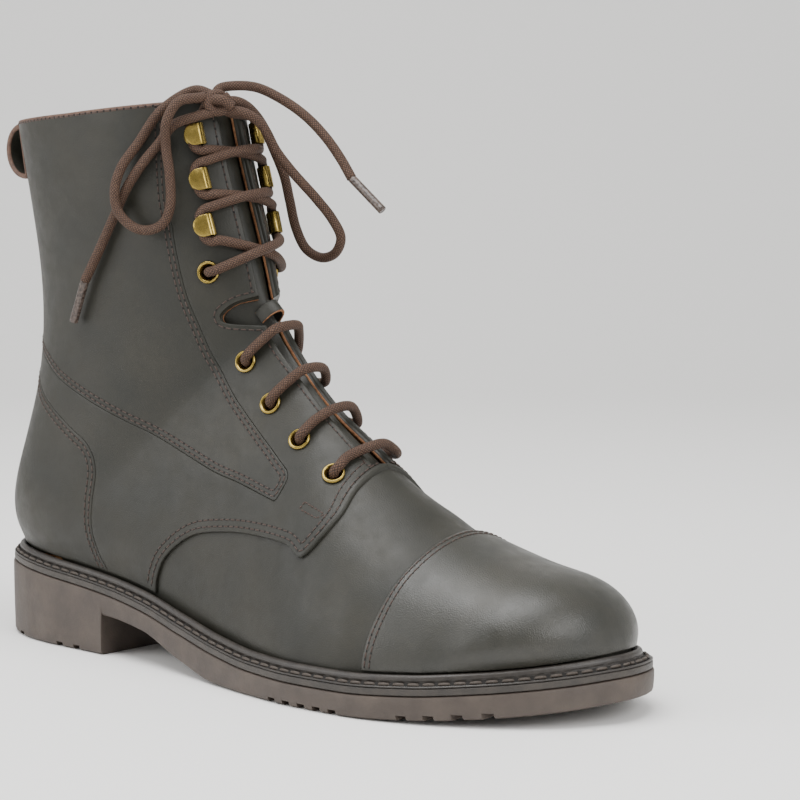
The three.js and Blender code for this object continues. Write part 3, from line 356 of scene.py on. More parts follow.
# %% Curves through the tables
def unit(ways):
    """Ways with a length of one."""
    return ways / np.maximum(np.linalg.norm(ways, axis=-1, keepdims=True), 1e-9)


def column(x, y):
    """A monotone cubic through points."""
    x, y = np.asarray(x, float), np.asarray(y, float)
    slope = np.diff(y) / np.diff(x)
    pair = slope[:-1] * slope[1:]
    total = np.where(pair > 0, slope[:-1] + slope[1:], 1)
    tangent = np.concatenate([slope[:1], np.where(pair > 0, 2 * pair / total, 0), slope[-1:]])

    def at(value):
        s = np.clip(value, x[0], x[-1])
        i = np.clip(np.searchsorted(x, s, side="right") - 1, 0, len(x) - 2)
        h = x[i + 1] - x[i]
        t = (s - x[i]) / h
        return (y[i] * (1 + 2 * t) * (1 - t) ** 2 + tangent[i] * h * t * (1 - t) ** 2
                + y[i + 1] * t * t * (3 - 2 * t) + tangent[i + 1] * h * t * t * (t - 1))
    return at


def smoothstep(x, low, high):
    t = np.clip((x - low) / (high - low), 0, 1)
    return t * t * (3 - 2 * t)


def lerp(a, b, t):
    return a + (b - a) * t


def foot_x(share):
    return SOLE_MARGIN + np.asarray(share) * LAST_LENGTH


heel_share, arch_share, spring_share, under_share = (column(SOLE[:, 0], SOLE[:, k])
                                                     for k in (1, 2, 3, 4))


def sole_top(x):
    s = x / SOLE_LENGTH
    return FOREFOOT + heel_share(s) * (HEEL_HEIGHT - FOREFOOT) + spring_share(s) * TOE_SPRING


def sole_under(x):
    s = x / SOLE_LENGTH
    return np.where(x <= HEEL_LENGTH, 0, arch_share(s) * ARCH_HEIGHT + under_share(s) * TOE_SPRING)


def midsole_top(x):
    return sole_top(x) + GAP + MIDSOLE


def seat(x):
    return midsole_top(x) + GAP


def centre(x):
    return TOE_TURN * np.maximum(0, 2 * x / SOLE_LENGTH - 1) ** 2


def ends(share):
    """An angle that spreads the two ends of a share, where the outline turns fast."""
    return np.arccos(1 - 2 * np.clip(share, 0, 1))


feather_of = {side: column(ends(FEATHER[:, 0]), FEATHER[:, k]) for side, k in ((-1, 1), (1, 2))}


def feather_half(side, x):
    return BALL_WIDTH * feather_of[side](ends((x - SOLE_MARGIN) / LAST_LENGTH))


print("the sole is", SOLE_LENGTH, "mm long and", sole_top(0), "mm high at the heel")

# %% Sections in millimetres
# The toe is a quarter of a rounded box, so its rows come from a formula
toe_x = foot_x(1 - TOE_REACH / LAST_LENGTH)
toe_rows = []
TOE_FULLNESS = 2 / 2.4
for degrees in (0, 20, 40, 60, 80):
    c, s = math.cos(math.radians(degrees)), math.sin(math.radians(degrees))
    toe_rows.append((toe_x + TOE_REACH * c ** TOE_FULLNESS, TOE_HEIGHT * s ** TOE_FULLNESS, toe_x,
                     0, toe_x, 0, BALL_WIDTH / 2, BALL_WIDTH / 2, 2.2, .47, 2.2))
body_rows = SECTIONS.copy()
body_rows[:, (0, 2, 4)] = foot_x(body_rows[:, (0, 2, 4)])
body_rows[:, (1, 3, 5)] *= UPPER_HEIGHT
body_rows[:, (6, 7)] *= LEG_WIDTH
last_rows = np.vstack([np.array(toe_rows), body_rows])
mirrored = np.vstack([2 * last_rows[:1] - last_rows[1:2], last_rows,
                      2 * last_rows[-1:] - last_rows[-2:-1]])
leg_of = {side: column(body_rows[9:, 5], body_rows[9:, k]) for side, k in ((-1, 6), (1, 7))}


def section(u):
    """Columns of the section at each row number, on a cubic B-spline through the rows."""
    u = np.asarray(u, float)
    i = np.minimum(np.floor(u), LAST_ROW - 1).astype(int)
    t = u - i
    weights = np.stack([(1 - t) ** 3, 3 * t ** 3 - 6 * t * t + 4,
                        -3 * t ** 3 + 3 * t * t + 3 * t + 1, t ** 3], -1) / 6
    return np.einsum("...k,...kc->c...", weights, mirrored[i[..., None] + np.arange(4)])


def leg_half(side, rise):
    step = feather_half(side, section(HEEL_ROW)[4]) - leg_of[side](0)
    return leg_of[side](rise) + step * np.maximum(0, 1 - rise / LEG_BLEND) ** 2


def half_width(side, u, rise):
    foot = feather_half(side, section(u)[4])
    share = smoothstep(u, HEEL_ROW - 5, HEEL_ROW)
    blend = foot + share * (leg_half(side, rise) - leg_half(side, 0))
    return np.where(u >= HEEL_ROW, leg_half(side, rise), blend)


print(len(last_rows), "rows in all, with", len(toe_rows), "round the toe")

# %% The skin of the boot
def skin(side, u, v, off=0.0):
    """Points of the last and their way out. u runs from toe to collar, v from the ridge in front
    (0) over the widest line (1) to the back (2), and off is the distance out in millimetres."""
    u, v = np.broadcast_arrays(np.asarray(u, float), np.asarray(v, float))
    front_x, front_z, back_x, back_z, wide_x, wide_z, _, _, fullness, shoulder, heel = section(u)
    front = v <= 1
    q = np.where(front, np.cos(v * math.pi / 2), np.sin((v - 1) * math.pi / 2))
    q = np.clip(q, 0, 1)
    end_x, end_z = np.where(front, front_x, back_x), np.where(front, front_z, back_z)
    x, rise = lerp(wide_x, end_x, q), lerp(wide_z, end_z, q)
    half = half_width(side, u, rise)
    straight = lerp(seat(wide_x), seat(end_x), q)
    z = rise + straight + (seat(x) - straight) * np.exp(-(rise / SEAT_BLEND) ** 2)
    reach = half * np.where(front, (1 - q ** fullness) ** shoulder, (1 - q ** heel) ** (1 / heel))
    reach = reach + (feather_half(side, x) - reach) * np.exp(-(rise / FEATHER_BLEND) ** 2)
    reach = np.where((v <= 0) | (v >= 2), 0, reach)
    ahead_x, ahead_z = end_x - wide_x, end_z - wide_z
    depth = np.maximum(np.hypot(ahead_x, ahead_z), 1)
    out = np.stack([ahead_x * q / depth ** 2, side * reach / half ** 2, ahead_z * q / depth ** 2], -1)
    out = unit(out)
    above = np.maximum(0, rise - BEAD_HEIGHT - WELT_SLOPE) / SWELL_HEIGHT
    swell = TOE_SWELL * smoothstep(x, foot_x(.3), foot_x(.5)) * above * np.exp(1 - above)
    bare = smoothstep(u, *BARE_FROM) * (1 - smoothstep(u, *BARE_TO))
    move = off + swell - LAID_ON * (1 - bare)
    return np.stack([x, centre(x) + side * reach, z], -1) + out * move[..., None], out


print("widest place at the ball:", skin(-1, 3, 1)[0].round(1))

# %% Finding a place on the skin
def v_at_width(side, u, width):
    """The v at which the surface lies a distance from the centre line."""
    row = section(u)
    q = np.ones_like(np.asarray(u, float))
    for _ in range(6):
        half = half_width(side, u, lerp(row[5], row[1], q))
        share = np.clip(1 - (width / half) ** (1 / row[9]), 0, 1)
        q = share ** (1 / row[8])
    return np.arccos(q) * 2 / math.pi


def row_where(side, width, past):
    """The row from which the point at a distance from the centre line passes a test."""
    low, high = float(THROAT_ROW), float(LAST_ROW)
    for _ in range(30):
        u = (low + high) / 2
        if past(skin(side, u, v_at_width(side, u, width))[0]):
            high = u
        else:
            low = u
    return low


def placed(points):
    """Millimetres from the back of the heel as millimetres in the boot's frame."""
    return np.asarray(points, float) - (HEEL_LENGTH / 2, 0, 0)


def on_boot(points):
    """Millimetres from the back of the heel as metres in the boot's frame."""
    return placed(points) * MM


collar_front = skin(-1, LAST_ROW, 0, LAID_ON)[0]
print("front of the collar at", on_boot(collar_front).round(4))

# %% [markdown]
# ## Seams
# The pattern pieces are drawn in side view, as a shoemaker draws them on the last. Each seam is a
# smooth line through a few points. The distance of any place on the leather from a seam is taken
# in side view and then stretched by the slope of the surface, so that a row of stitches keeps its
# distance also where the leather turns away.

# %% Seam lines in side view
SEAM_STEPS = 12


def seam(points):
    """A smooth line through places given along the foot and up from the seat."""
    at = np.array([(foot_x(a), seat(foot_x(a)) + r * UPPER_HEIGHT) for a, r in points])
    at = np.vstack([2 * at[0] - at[1], at, 2 * at[-1] - at[-2]])
    t = np.linspace(0, 1, SEAM_STEPS, endpoint=False)[:, None]
    parts = []
    for p0, p1, p2, p3 in zip(at, at[1:], at[2:], at[3:]):
        parts.append(((2 * p1) + (p2 - p0) * t + (2 * p0 - 5 * p1 + 4 * p2 - p3) * t * t
                      + (3 * p1 - p0 - 3 * p2 + p3) * t ** 3) / 2)
    return np.vstack([*parts, at[-2:-1]])


CAP_LINE = seam([(.752, -.10), (.757, .055), (.763, .120), (.768, .174), (.776, .235), (.780, .33)])
QUARTER_LINE = seam([(.338, -.06), (.342, .020), (.348, .060), (.367, .110), (.411, .170),
                     (.470, .203), (.530, .220), (.595, .222), (.630, .206), (.656, .276),
                     (.654, .335), (.655, .44)])
LEG_LOW_LINE = seam([(-.10, .475), (.030, .445), (.087, .416), (.133, .388), (.207, .357),
                     (.283, .330), (.416, .302), (.484, .299), (.555, .288)])
LEG_FRONT_LINE = seam([(.555, .288), (.561, .335), (.535, .362), (.477, .409), (.433, .449),
                       (.399, .502), (.380, .562), (.361, .632), (.342, .757), (.333, .833),
                       (.317, 1.10)])
COUNTER_LINE = seam([(-.10, .440), (.030, .400), (.082, .352), (.127, .323), (.168, .297),
                     (.206, .269), (.221, .226), (.219, .162), (.221, .103), (.231, .052),
                     (.243, .014), (.250, -.10)])
NOTCH_LINE = seam([(.480, .594), (.444, .584), (.413, .579), (.406, .589), (.413, .607),
                   (.431, .629), (.466, .648), (.480, .594)])
bead_x = foot_x(np.linspace(0, 1, 160))
BEAD_LINE = np.stack([bead_x, seat(bead_x) + WELT_SLOPE + BEAD_HEIGHT + GAP], -1)
FAR = 400
print("the quarter's seam has", len(QUARTER_LINE), "places")

# %% Distance from a seam
def inside(outline, points):
    """Whether points lie in a closed outline."""
    a, b = outline, np.roll(outline, -1, axis=0)
    crossings = np.zeros(len(points), int)
    for (ax, az), (bx, bz) in zip(a, b):
        over = (az > points[:, 1]) != (bz > points[:, 1])
        if over.any():
            at = ax + (points[:, 1] - az) * (bx - ax) / (bz - az if bz != az else 1)
            crossings += over & (points[:, 0] < at)
    return crossings % 2 == 1


def distance_to(line, points, out):
    """Distance over the leather from a line drawn in side view."""
    best = np.full(len(points), 1e9)
    way = np.zeros((len(points), 2))
    for a, b in zip(line, line[1:]):
        along = b - a
        t = np.clip(((points - a) @ along) / (along @ along + 1e-12), 0, 1)
        gap = points - (a + t[:, None] * along)
        far = np.hypot(gap[:, 0], gap[:, 1])
        nearer = far < best
        best[nearer], way[nearer] = far[nearer], gap[nearer]
    unit = way / np.maximum(best, 1e-9)[:, None]
    lean = unit[:, 0] * out[:, 0] + unit[:, 1] * out[:, 2]
    return best / np.sqrt(np.maximum(1 - lean ** 2, 0.09))


print("the quarter seam is", round(float(np.linalg.norm(np.diff(QUARTER_LINE, axis=0), axis=1).sum())),
      "mm long")

# %% [markdown]
# ## Sheets of leather
# One fine grid covers the last on each side. A panel is that grid cut along its seams: triangles
# are split along level lines of the distance from the edge, so that the edge runs smoothly, and
# more levels close to the edge give it a real rounded section. A solidify modifier could give the
# thickness, but its edges are square, and the rounded edge is what catches the light.

# %% The grid of each side
u_front = np.concatenate([np.linspace(0, 5, 46)[:-1], np.linspace(5, HEEL_ROW, 91)])
u_back = np.linspace(HEEL_ROW, LAST_ROW, 113)
FRONT_STEPS, BACK_STEPS = 56, 40


def throat_v(side, u):
    return np.where(u <= THROAT_ROW, 0, v_at_width(side, np.asarray(u, float), THROAT_GAP / 2))


def grid_of(us, vs):
    """Triangles and (u, v) rows of a grid. vs is a table with one line for each u."""
    rows = np.stack([np.repeat(us, vs.shape[1]), vs.ravel()], -1)
    count = vs.shape[1]
    i = (np.arange(len(us) - 1)[:, None] * count + np.arange(count - 1)[None, :]).ravel()
    one = np.stack([i, i + count, i + count + 1], -1)
    two = np.stack([i, i + count + 1, i + 1], -1)
    return np.vstack([one, two]), rows


def joined(places, faces, digits=3):
    """Faces with the corners at the same place made one, without those that lose their area, and
    the corners that are kept."""
    _, kept, number = np.unique(places.round(digits), axis=0, return_index=True, return_inverse=True)
    faces = number.reshape(-1)[faces]
    return faces[(faces != np.roll(faces, 1, axis=1)).all(1)], kept


def join_sheets(*sheets):
    """Several (triangles, rows) as one, with rows that agree joined."""
    triangles, rows, start = [], [], 0
    for tri, part in sheets:
        triangles.append(tri + start)
        rows.append(part)
        start += len(part)
    rows = np.vstack(rows)
    triangles, kept = joined(rows, np.vstack(triangles), 6)
    return triangles, rows[kept]


def side_sheet(side):
    """The whole grid of one side, from the throat to the back."""
    share = np.linspace(0, 1, FRONT_STEPS + 1)
    us = np.concatenate([u_front, u_back[1:]])
    front = grid_of(us, lerp(throat_v(side, us)[:, None], 1, share[None, :]))
    vs = np.broadcast_to(1 + np.linspace(0, 1, BACK_STEPS + 1), (len(u_back), BACK_STEPS + 1))
    return join_sheets(front, grid_of(u_back, vs))


sheets = {side: side_sheet(side) for side in (-1, 1)}
print("grid of a side:", len(sheets[-1][0]), "triangles")

# %% Cutting triangles along a line
def split(tri, rows, level):
    """Cuts triangles along the line where a value of the rows is nought. level gives the value of
    each row. Returns triangles and rows with the new rows added, and the values."""
    value = np.array(level, float)
    value[np.abs(value) < 1e-4] = 0
    sign = np.sign(value).astype(int)
    pairs = np.stack([tri, np.roll(tri, -1, axis=1)], -1)
    cross = sign[pairs[..., 0]] * sign[pairs[..., 1]] < 0
    if not cross.any():
        return tri, rows, value
    low = np.sort(pairs[cross], axis=-1)
    keys, number = np.unique(low, axis=0, return_inverse=True)
    va, vb = value[keys[:, 0]], value[keys[:, 1]]
    t = (va / (va - vb))[:, None]
    fresh = rows[keys[:, 0]] * (1 - t) + rows[keys[:, 1]] * t
    middle = np.full(cross.shape, -1)
    middle[cross] = number.reshape(-1) + len(rows)
    count = cross.sum(1)
    made = [tri[count == 0]]
    for k in range(3):
        a, b, c = k, (k + 1) % 3, (k + 2) % 3
        two = (count == 2) & cross[:, a] & cross[:, c]
        p, q, r = tri[two, a], tri[two, b], tri[two, c]
        m, n = middle[two, a], middle[two, c]
        made += [np.stack([p, m, n], -1), np.stack([m, q, r], -1), np.stack([m, r, n], -1)]
        one = (count == 1) & cross[:, b]
        p, q, r, m = tri[one, a], tri[one, b], tri[one, c], middle[one, b]
        made += [np.stack([p, q, m], -1), np.stack([p, m, r], -1)]
    return np.vstack(made), np.vstack([rows, fresh]), np.concatenate([value, np.zeros(len(fresh))])


def tidy(tri, rows):
    """Drops the rows that no triangle uses."""
    used, number = np.unique(tri, return_inverse=True)
    return number.reshape(tri.shape), rows[used]


def rim_of(tri):
    """Directed edges that only one triangle has."""
    pairs = np.vstack([tri[:, (0, 1)], tri[:, (1, 2)], tri[:, (2, 0)]])
    keys = pairs[:, 0].astype(np.int64) * (tri.max() + 1) + pairs[:, 1]
    back_keys = pairs[:, 1].astype(np.int64) * (tri.max() + 1) + pairs[:, 0]
    return pairs[~np.isin(keys, back_keys)]


square = grid_of(np.arange(2.0), np.array([[0, 1.0], [0, 1.0]]))
print("a square cut across has", len(split(*square, [-1, -1, 1, 1])[0]), "triangles")

# %% Places of the eyelets and hooks
# Each is a share of the upper's height, and of the leg's width out from the middle
EYELETS = [(.343, .266), (.396, .244), (.448, .210), (.511, .175), (.669, .251)]
HOOKS = [(.753, .238), (.837, .226), (.920, .216)]


def facing_place(side, rise, share):
    """The place on a facing, the way out of the leather and the way up the facing."""
    width = share * LEG_WIDTH
    u = row_where(side, width, lambda p: p[2] - seat(p[0]) > rise * UPPER_HEIGHT)
    v = v_at_width(side, u, width)
    up = unit(skin(side, u + .05, v)[0] - skin(side, u - .05, v)[0])
    across = skin(side, u, v + .01)[0] - skin(side, u, v - .01)[0]
    return skin(side, u, v)[0], unit(np.cross(up, across) * -side), up


SIDES = {-1: "lateral", 1: "medial"}
eyelets, hooks = ({(side, i): facing_place(side, *row) for side in SIDES
                   for i, row in enumerate(table, 1)} for table in (EYELETS, HOOKS))
print("lowest eyelet at", on_boot(eyelets[-1, 1][0]).round(4))

# %% [markdown]
# ## Distances from every seam
# Each place of the grid gets its distance from each seam and edge, positive on the side where the
# panel's leather lies. Panels, their rounded edges and their stitch rows are all read from these.

# %% Measure the grid
FIELDS = ["cap", "quarter", "leg", "counter", "notch", "bead", "throat", "collar", "ridge",
          "backseam", "holes"]
COL = {name: k + 2 for k, name in enumerate(FIELDS)}
HOLE_RADIUS, NEAR_HOLE, NOWHERE_NEAR = 2.9, 9, 50


def corner_outline(line, *corners):
    return np.vstack([line, np.array(corners, float)])


OUTLINES = {
    "cap": (CAP_LINE, corner_outline(CAP_LINE, (2 * FAR, FAR), (2 * FAR, -FAR))),
    "quarter": (QUARTER_LINE, corner_outline(QUARTER_LINE, (foot_x(.5), FAR), (-FAR, FAR),
                                             (-FAR, -FAR))),
    "leg": (np.vstack([LEG_LOW_LINE, LEG_FRONT_LINE[1:]]),
            corner_outline(np.vstack([LEG_LOW_LINE, LEG_FRONT_LINE[1:]]), (-FAR, FAR))),
    "counter": (COUNTER_LINE, corner_outline(COUNTER_LINE, (-FAR, -FAR))),
    "bead": (BEAD_LINE, corner_outline(BEAD_LINE, (FAR + LAST_LENGTH, BEAD_LINE[-1, 1]),
                                       (FAR + LAST_LENGTH, FAR), (-FAR, FAR),
                                       (-FAR, BEAD_LINE[0, 1]))),
    "notch": (NOTCH_LINE, NOTCH_LINE[:-1])}


def measured(side, rows):
    """The rows with their distance from each seam added."""
    u, v = rows[:, 0], rows[:, 1]
    point, out = skin(side, u, v, LAID_ON)
    flat = point[:, (0, 2)]
    values = {}
    for name, (line, outline) in OUTLINES.items():
        far = distance_to(line, flat, out)
        within = inside(outline, flat)
        values[name] = np.where(within != (name == "notch"), far, -far)
    edge = skin(side, u, throat_v(side, u), LAID_ON)[0]
    values["throat"] = np.where(u > THROAT_ROW, np.linalg.norm(point - edge, axis=1), NOWHERE_NEAR)
    values["collar"] = np.linalg.norm(point - skin(side, LAST_ROW, v, LAID_ON)[0], axis=1)
    off_centre = np.abs(point[:, 1] - centre(point[:, 0])) - GAP / 2
    values["ridge"] = np.where((v < 1) & (u < THROAT_ROW + .5), off_centre, NOWHERE_NEAR)
    values["backseam"] = np.where(v > 1, off_centre, NOWHERE_NEAR)
    values["holes"] = np.full(len(rows), float(NOWHERE_NEAR))
    for i in range(1, len(EYELETS) + 1):
        middle, way, _ = eyelets[side, i]
        near = np.linalg.norm(point - middle, axis=1) < NEAR_HOLE
        from_axis = np.linalg.norm(np.cross(point - middle, way), axis=1) - HOLE_RADIUS
        values["holes"] = np.where(near, np.minimum(values["holes"], from_axis), values["holes"])
    return np.column_stack([rows[:, :2]] + [values[name] for name in FIELDS])


grids = {side: (sheets[side][0], measured(side, sheets[side][1])) for side in (-1, 1)}
print("measured", {side: len(grids[side][1]) for side in grids}, "places")

# %% Cutting a panel
def cut(tri, rows, value_of):
    """Keeps the part of a sheet where a value is above nought."""
    tri, rows, value = split(tri, rows, value_of(rows))
    keep = value[tri].sum(1) > 0
    return tidy(tri[keep], rows)


def levels(tri, rows, value_of, at):
    """Adds lines of corners along some levels of a value."""
    for level in at:
        tri, rows, _ = split(tri, rows, value_of(rows) - level)
    return tri, rows


def rounded(distance, radius):
    """How far a rounded edge drops below the top of the leather."""
    t = np.clip(distance / radius, 0, 1)
    return radius * (1 - np.sqrt(np.maximum(1 - (1 - t) ** 2, 0)))


# How far in the edge of each panel is rounded, how far the binding reaches, and how much room a
# panel leaves beside its neighbour
ROUNDS = {"quarter": .75, "throat": .6, "collar": .6, "notch": .5, "cap": .7, "leg": .35,
          "counter": .35, "bead": .4, "ridge": .3, "backseam": .35}
BOUND, BOUND_LINE, LAP = 1.65, 1.6, GAP / 4


def from_line(name, sign=1, gap=0.0):
    """How far rows lie inside a border."""
    return lambda rows: sign * rows[:, COL[name]] - gap


def panel_sheet(side, borders, without=()):
    """One side of a panel. borders are the fields that bound it, and without the fields of other
    panels that it leaves free."""
    tri, rows = grids[side]
    edges = [(name, from_line(name)) for name in borders]
    edges += [(name, from_line(name, -1, LAP)) for name in without]
    for _, inside_by in [*edges, ("holes", from_line("holes"))]:
        tri, rows = cut(tri, rows, inside_by)
    for name, inside_by in edges:
        steps = (ROUNDS[name] * .12, ROUNDS[name] * .4, ROUNDS[name])
        tri, rows = levels(tri, rows, inside_by, steps + (BOUND_LINE,) * (name == "collar"))
    drop = np.max([rounded(inside_by(rows), ROUNDS[name]) for name, inside_by in edges], axis=0)
    return tri, rows, drop


print("edges rounded by", min(ROUNDS.values()), "to", max(ROUNDS.values()), "mm")

# %% From a sheet to a mesh
def skin_points(side, rows, off):
    """Points and ways out at a height over the last."""
    return skin(side, rows[:, 0], rows[:, 1], off)


def sheet_mesh(parts, high, low, raw=()):
    """One mesh from the sheets of one or both sides: top faces, their rim's wall and the lining.
    parts are (side, triangles, rows, drop). Returns the points, the three lists of faces, and
    which corners lie within reach of the borders in raw."""
    tops, feet, tris, bare, start = [], [], [], [], 0
    for side, tri, rows, drop in parts:
        tops.append(skin_points(side, rows, high - drop)[0])
        feet.append(skin_points(side, rows, low)[0])
        near = [np.abs(rows[:, COL[name]]) - reach for name, reach in raw]
        bare.append(np.min(near, axis=0) < 0 if near else np.zeros(len(rows), bool))
        tris.append((tri[:, ::-1] if side > 0 else tri) + start)
        start += len(rows)
    tops, feet, tri, bare = np.vstack(tops), np.vstack(feet), np.vstack(tris), np.concatenate(bare)
    tri, kept = joined(tops, tri)
    tops, feet, bare = tops[kept], feet[kept], bare[kept]
    rim = rim_of(tri)
    count = len(tops)
    wall = np.vstack([np.stack([rim[:, 1], rim[:, 0], rim[:, 0] + count], -1),
                      np.stack([rim[:, 1], rim[:, 0] + count, rim[:, 1] + count], -1)])
    return np.vstack([tops, feet]), tri, wall, tri[:, ::-1] + count, np.concatenate([bare, bare])


def put_parts(name, points, groups):
    """A piece with several finishes, in place of the solid of its name. groups are (faces,
    finish)."""
    faces = np.vstack([f for f, _ in groups])
    used, number = np.unique(faces, return_inverse=True)
    finish, *others = [each for _, each in groups]
    finish_of = np.repeat(np.arange(len(groups)), [len(f) for f, _ in groups])
    return put(name, on_boot(points[used]), number.reshape(faces.shape), finish, [name], others,
               finish_of)


def build_panel(name, sides, borders, without, finish, raw=()):
    """A panel of leather with rounded edges that stands on the upper. raw holds the borders that
    are bound in brown, and how far in."""
    parts = [(side, *panel_sheet(side, borders, without)) for side in sides]
    points, top, wall, _, bare = sheet_mesh(parts, LAID_ON, 0.0, raw)
    faces = np.vstack([top, wall])
    bound = bare[faces].all(1)
    groups = [(faces[~bound], finish)]
    if bound.any():
        groups.append((faces[bound], binding))
    put_parts(name, points, groups)
    return parts


print("the leather is", LEATHER, "mm thick and stands", GAP, "mm off the upper")

# %% Build the panels
panels = {"toe_cap": build_panel("toe_cap", SIDES, ["cap", "bead"], [], polished),
          "heel_counter": build_panel("heel_counter", SIDES, ["counter", "bead"], [], olive)}
for side, word in SIDES.items():
    panels["leg_" + word] = build_panel("leg_" + word, (side,), ["leg", "collar", "backseam"],
                                        ["counter"], olive, [("collar", BOUND)])
    panels["quarter_" + word] = build_panel(
        "quarter_" + word, (side,),
        ["quarter", "bead", "throat", "collar", "notch", "ridge", "backseam"],
        ["leg", "counter"], olive, [("collar", BOUND)])

# %% The upper, its lining and the tongue
DYED = 1.3


def upper_part(side):
    """One side of the upper, with the notch and the eyelet holes cut out."""
    tri, rows = grids[side]
    for name in ("notch", "holes"):
        tri, rows = cut(tri, rows, from_line(name))
    return side, tri, rows, np.zeros(len(rows))


upper_sides = [upper_part(side) for side in SIDES]
outer, top, dyed_wall, _, _ = sheet_mesh(upper_sides, 0.0, -DYED)
inner, _, raw_wall, lining, _ = sheet_mesh(upper_sides, -DYED, -WALL)
put_parts("upper", np.vstack([outer, inner]),
          [(np.vstack([top, dyed_wall]), olive), (lining + len(outer), tan),
           (raw_wall + len(outer), cut_edge)])

TONGUE_HALF, TONGUE, TONGUE_TOP, TONGUE_ROUND = 24.0, 2, -WALL - 1, .8


def tongue_part(side):
    """The tongue with its edges rounded. Its rows carry the distance from the edge and the top."""
    us = np.concatenate([u_front[u_front >= THROAT_ROW - 2], u_back[1:]])
    edge = v_at_width(side, us, TONGUE_HALF)
    tri, rows = grid_of(us, edge[:, None] * np.linspace(0, 1, 25)[None, :])
    u, v = rows.T
    point = skin(side, u, v)[0]
    to_side = np.linalg.norm(point - skin(side, u, v_at_width(side, u, TONGUE_HALF))[0], axis=1)
    to_top = np.linalg.norm(point - skin(side, LAST_ROW, v)[0], axis=1)
    rows = np.column_stack([rows, to_side, to_top])
    for k in (2, 3):
        tri, rows = levels(tri, rows, lambda r: r[:, k], (.1, .4, TONGUE_ROUND))
    drop = np.maximum(rounded(rows[:, 2], TONGUE_ROUND), rounded(rows[:, 3], TONGUE_ROUND))
    return side, tri, rows, drop


points, face, wall, flesh, _ = sheet_mesh([tongue_part(side) for side in SIDES], TONGUE_TOP,
                                          TONGUE_TOP - TONGUE)
put_parts("tongue", points, [(face, olive), (np.vstack([flesh, wall]), tan)])

# %% [markdown]
# ## The sole
# The sole is lofted round the outline of the last. Its edge is built up as a cobbler builds it: the
# moulded outsole with lugs cut into its lower edge, a plain buffed strip, and the welt with its
# stitched channel and the rounded bead that meets the leather. Boolean cuts could make the lugs,
# but a loft with a pair of stations at each wall of a groove keeps the walls sharp and the rest
# smooth.

# %% Lines round the outline
def sole_margin(share):
    return lerp(SOLE_MARGIN, TOE_MARGIN, smoothstep(share, .8, 1))


def edge_points(side, share, off):
    """Points in plan a distance out from the feather line."""
    share = np.asarray(share, float)
    step = np.maximum(np.minimum(.004, np.minimum(share / 2, (1 - share) / 2)), 1e-9)

    def plan(s):
        x = foot_x(s)
        return np.stack([x, centre(x) + side * feather_half(side, x)], -1)
    ahead = unit(plan(share + step) - plan(share - step))
    normal = np.stack([-ahead[..., 1], ahead[..., 0]], -1) * side
    normal[share <= 0], normal[share >= 1] = (-1, 0), (1, 0)
    return plan(share) + normal * np.asarray(off)[..., None]


print("the sole stands out", sole_margin(0), "to", sole_margin(1), "mm round the upper")

# %% Lofts
def sole_loft(profile, stations=700, grooves=None):
    """A loft of rings. profile gives for each line how far out it lies, as a function of the share,
    and its height, as a function of the place along the foot. grooves holds for each side the
    places where a groove is cut from the edge, and each of its walls gets a pair of stations."""
    base = (1 - np.cos(math.pi * np.linspace(0, 1, stations + 1))) / 2
    fine = np.linspace(0, 1, 4001)
    points, faces, start = [], [], 0
    for side in (-1, 1):
        at = np.array(grooves[side] if grooves else [])
        walls = np.sort(np.concatenate([at - LUG_WIDTH / 2, at + LUG_WIDTH / 2]))

        def wall_shares(off):
            return np.interp(walls, edge_points(side, fine, off(fine))[:, 0], fine)
        reference = wall_shares(from_edge(0))
        share = np.sort(np.concatenate([base, reference - 1e-7, reference + 1e-7]))
        number = np.searchsorted(reference, share)
        cut_in = number % 2 == 1
        lines = []
        for k, (off, height_at) in enumerate(profile):
            own = np.interp(share, [0, *reference, 1], [0, *wall_shares(off), 1])
            z = height_at(foot_x(own)) + 0 * own
            if grooves and k < len(profile) - 1:
                floor_at = sole_under(at[np.minimum(number // 2, len(at) - 1)]) + LUG_DEPTH
                z = np.where(cut_in, np.maximum(z, floor_at), z)
            lines.append(np.column_stack([edge_points(side, own, off(own)), z]))
        block = np.stack(lines, 1)
        tri, _ = grid_of(share, np.zeros((len(share), len(profile))))
        faces.append((tri if side > 0 else tri[:, ::-1]) + start)
        points.append(block.reshape(-1, 3))
        start += block.shape[0] * block.shape[1]
    return points, faces


def weld(points, faces):
    """The points and faces of a loft with its seams closed."""
    faces, kept = joined(points, faces)
    return points[kept], faces


def hard(piece, degrees=35):
    """Keeps the edges sharp where faces meet at more than an angle."""
    piece.data.set_sharp_from_angle(angle=math.radians(degrees))
    return piece


def put_loft(name, profile, finish, nodes=None, **options):
    points, faces = weld(*map(np.vstack, sole_loft(profile, **options)))
    return hard(put(name, on_boot(points), faces, finish, [name] if nodes is None else nodes))


def from_edge(inset):
    """A line inwards from the edge of the sole."""
    return lambda share: sole_margin(share) - inset


def from_feather(off):
    """A line outwards from the feather line."""
    return lambda share: np.full(np.shape(share), float(off))


print("a groove is", LUG_WIDTH, "mm wide and", LUG_DEPTH, "mm deep")

# %% Outsole with heel, arch and lugs
# Where each row of grooves starts as a share of the last, how many it has, and their steps
LUGS = [(.04, 2, .03), (.16, 2, .035), (.625, 5, .025), (.815, 4, .03)]
groove_share = np.array([first + i * step for first, count, step in LUGS for i in range(count)])
grooves = {side: edge_points(side, groove_share, sole_margin(groove_share))[:, 0] for side in SIDES}


def up_from_ground(raise_by):
    return lambda x: sole_under(x) + raise_by


def down_from_top(lower_by):
    return lambda x: sole_top(x) - lower_by


def on_wall(share_down):
    """A height on the wall of the sole, between its two rounded edges."""
    return lambda x: lerp(sole_top(x) - .8, sole_under(x) + 1.5, share_down)


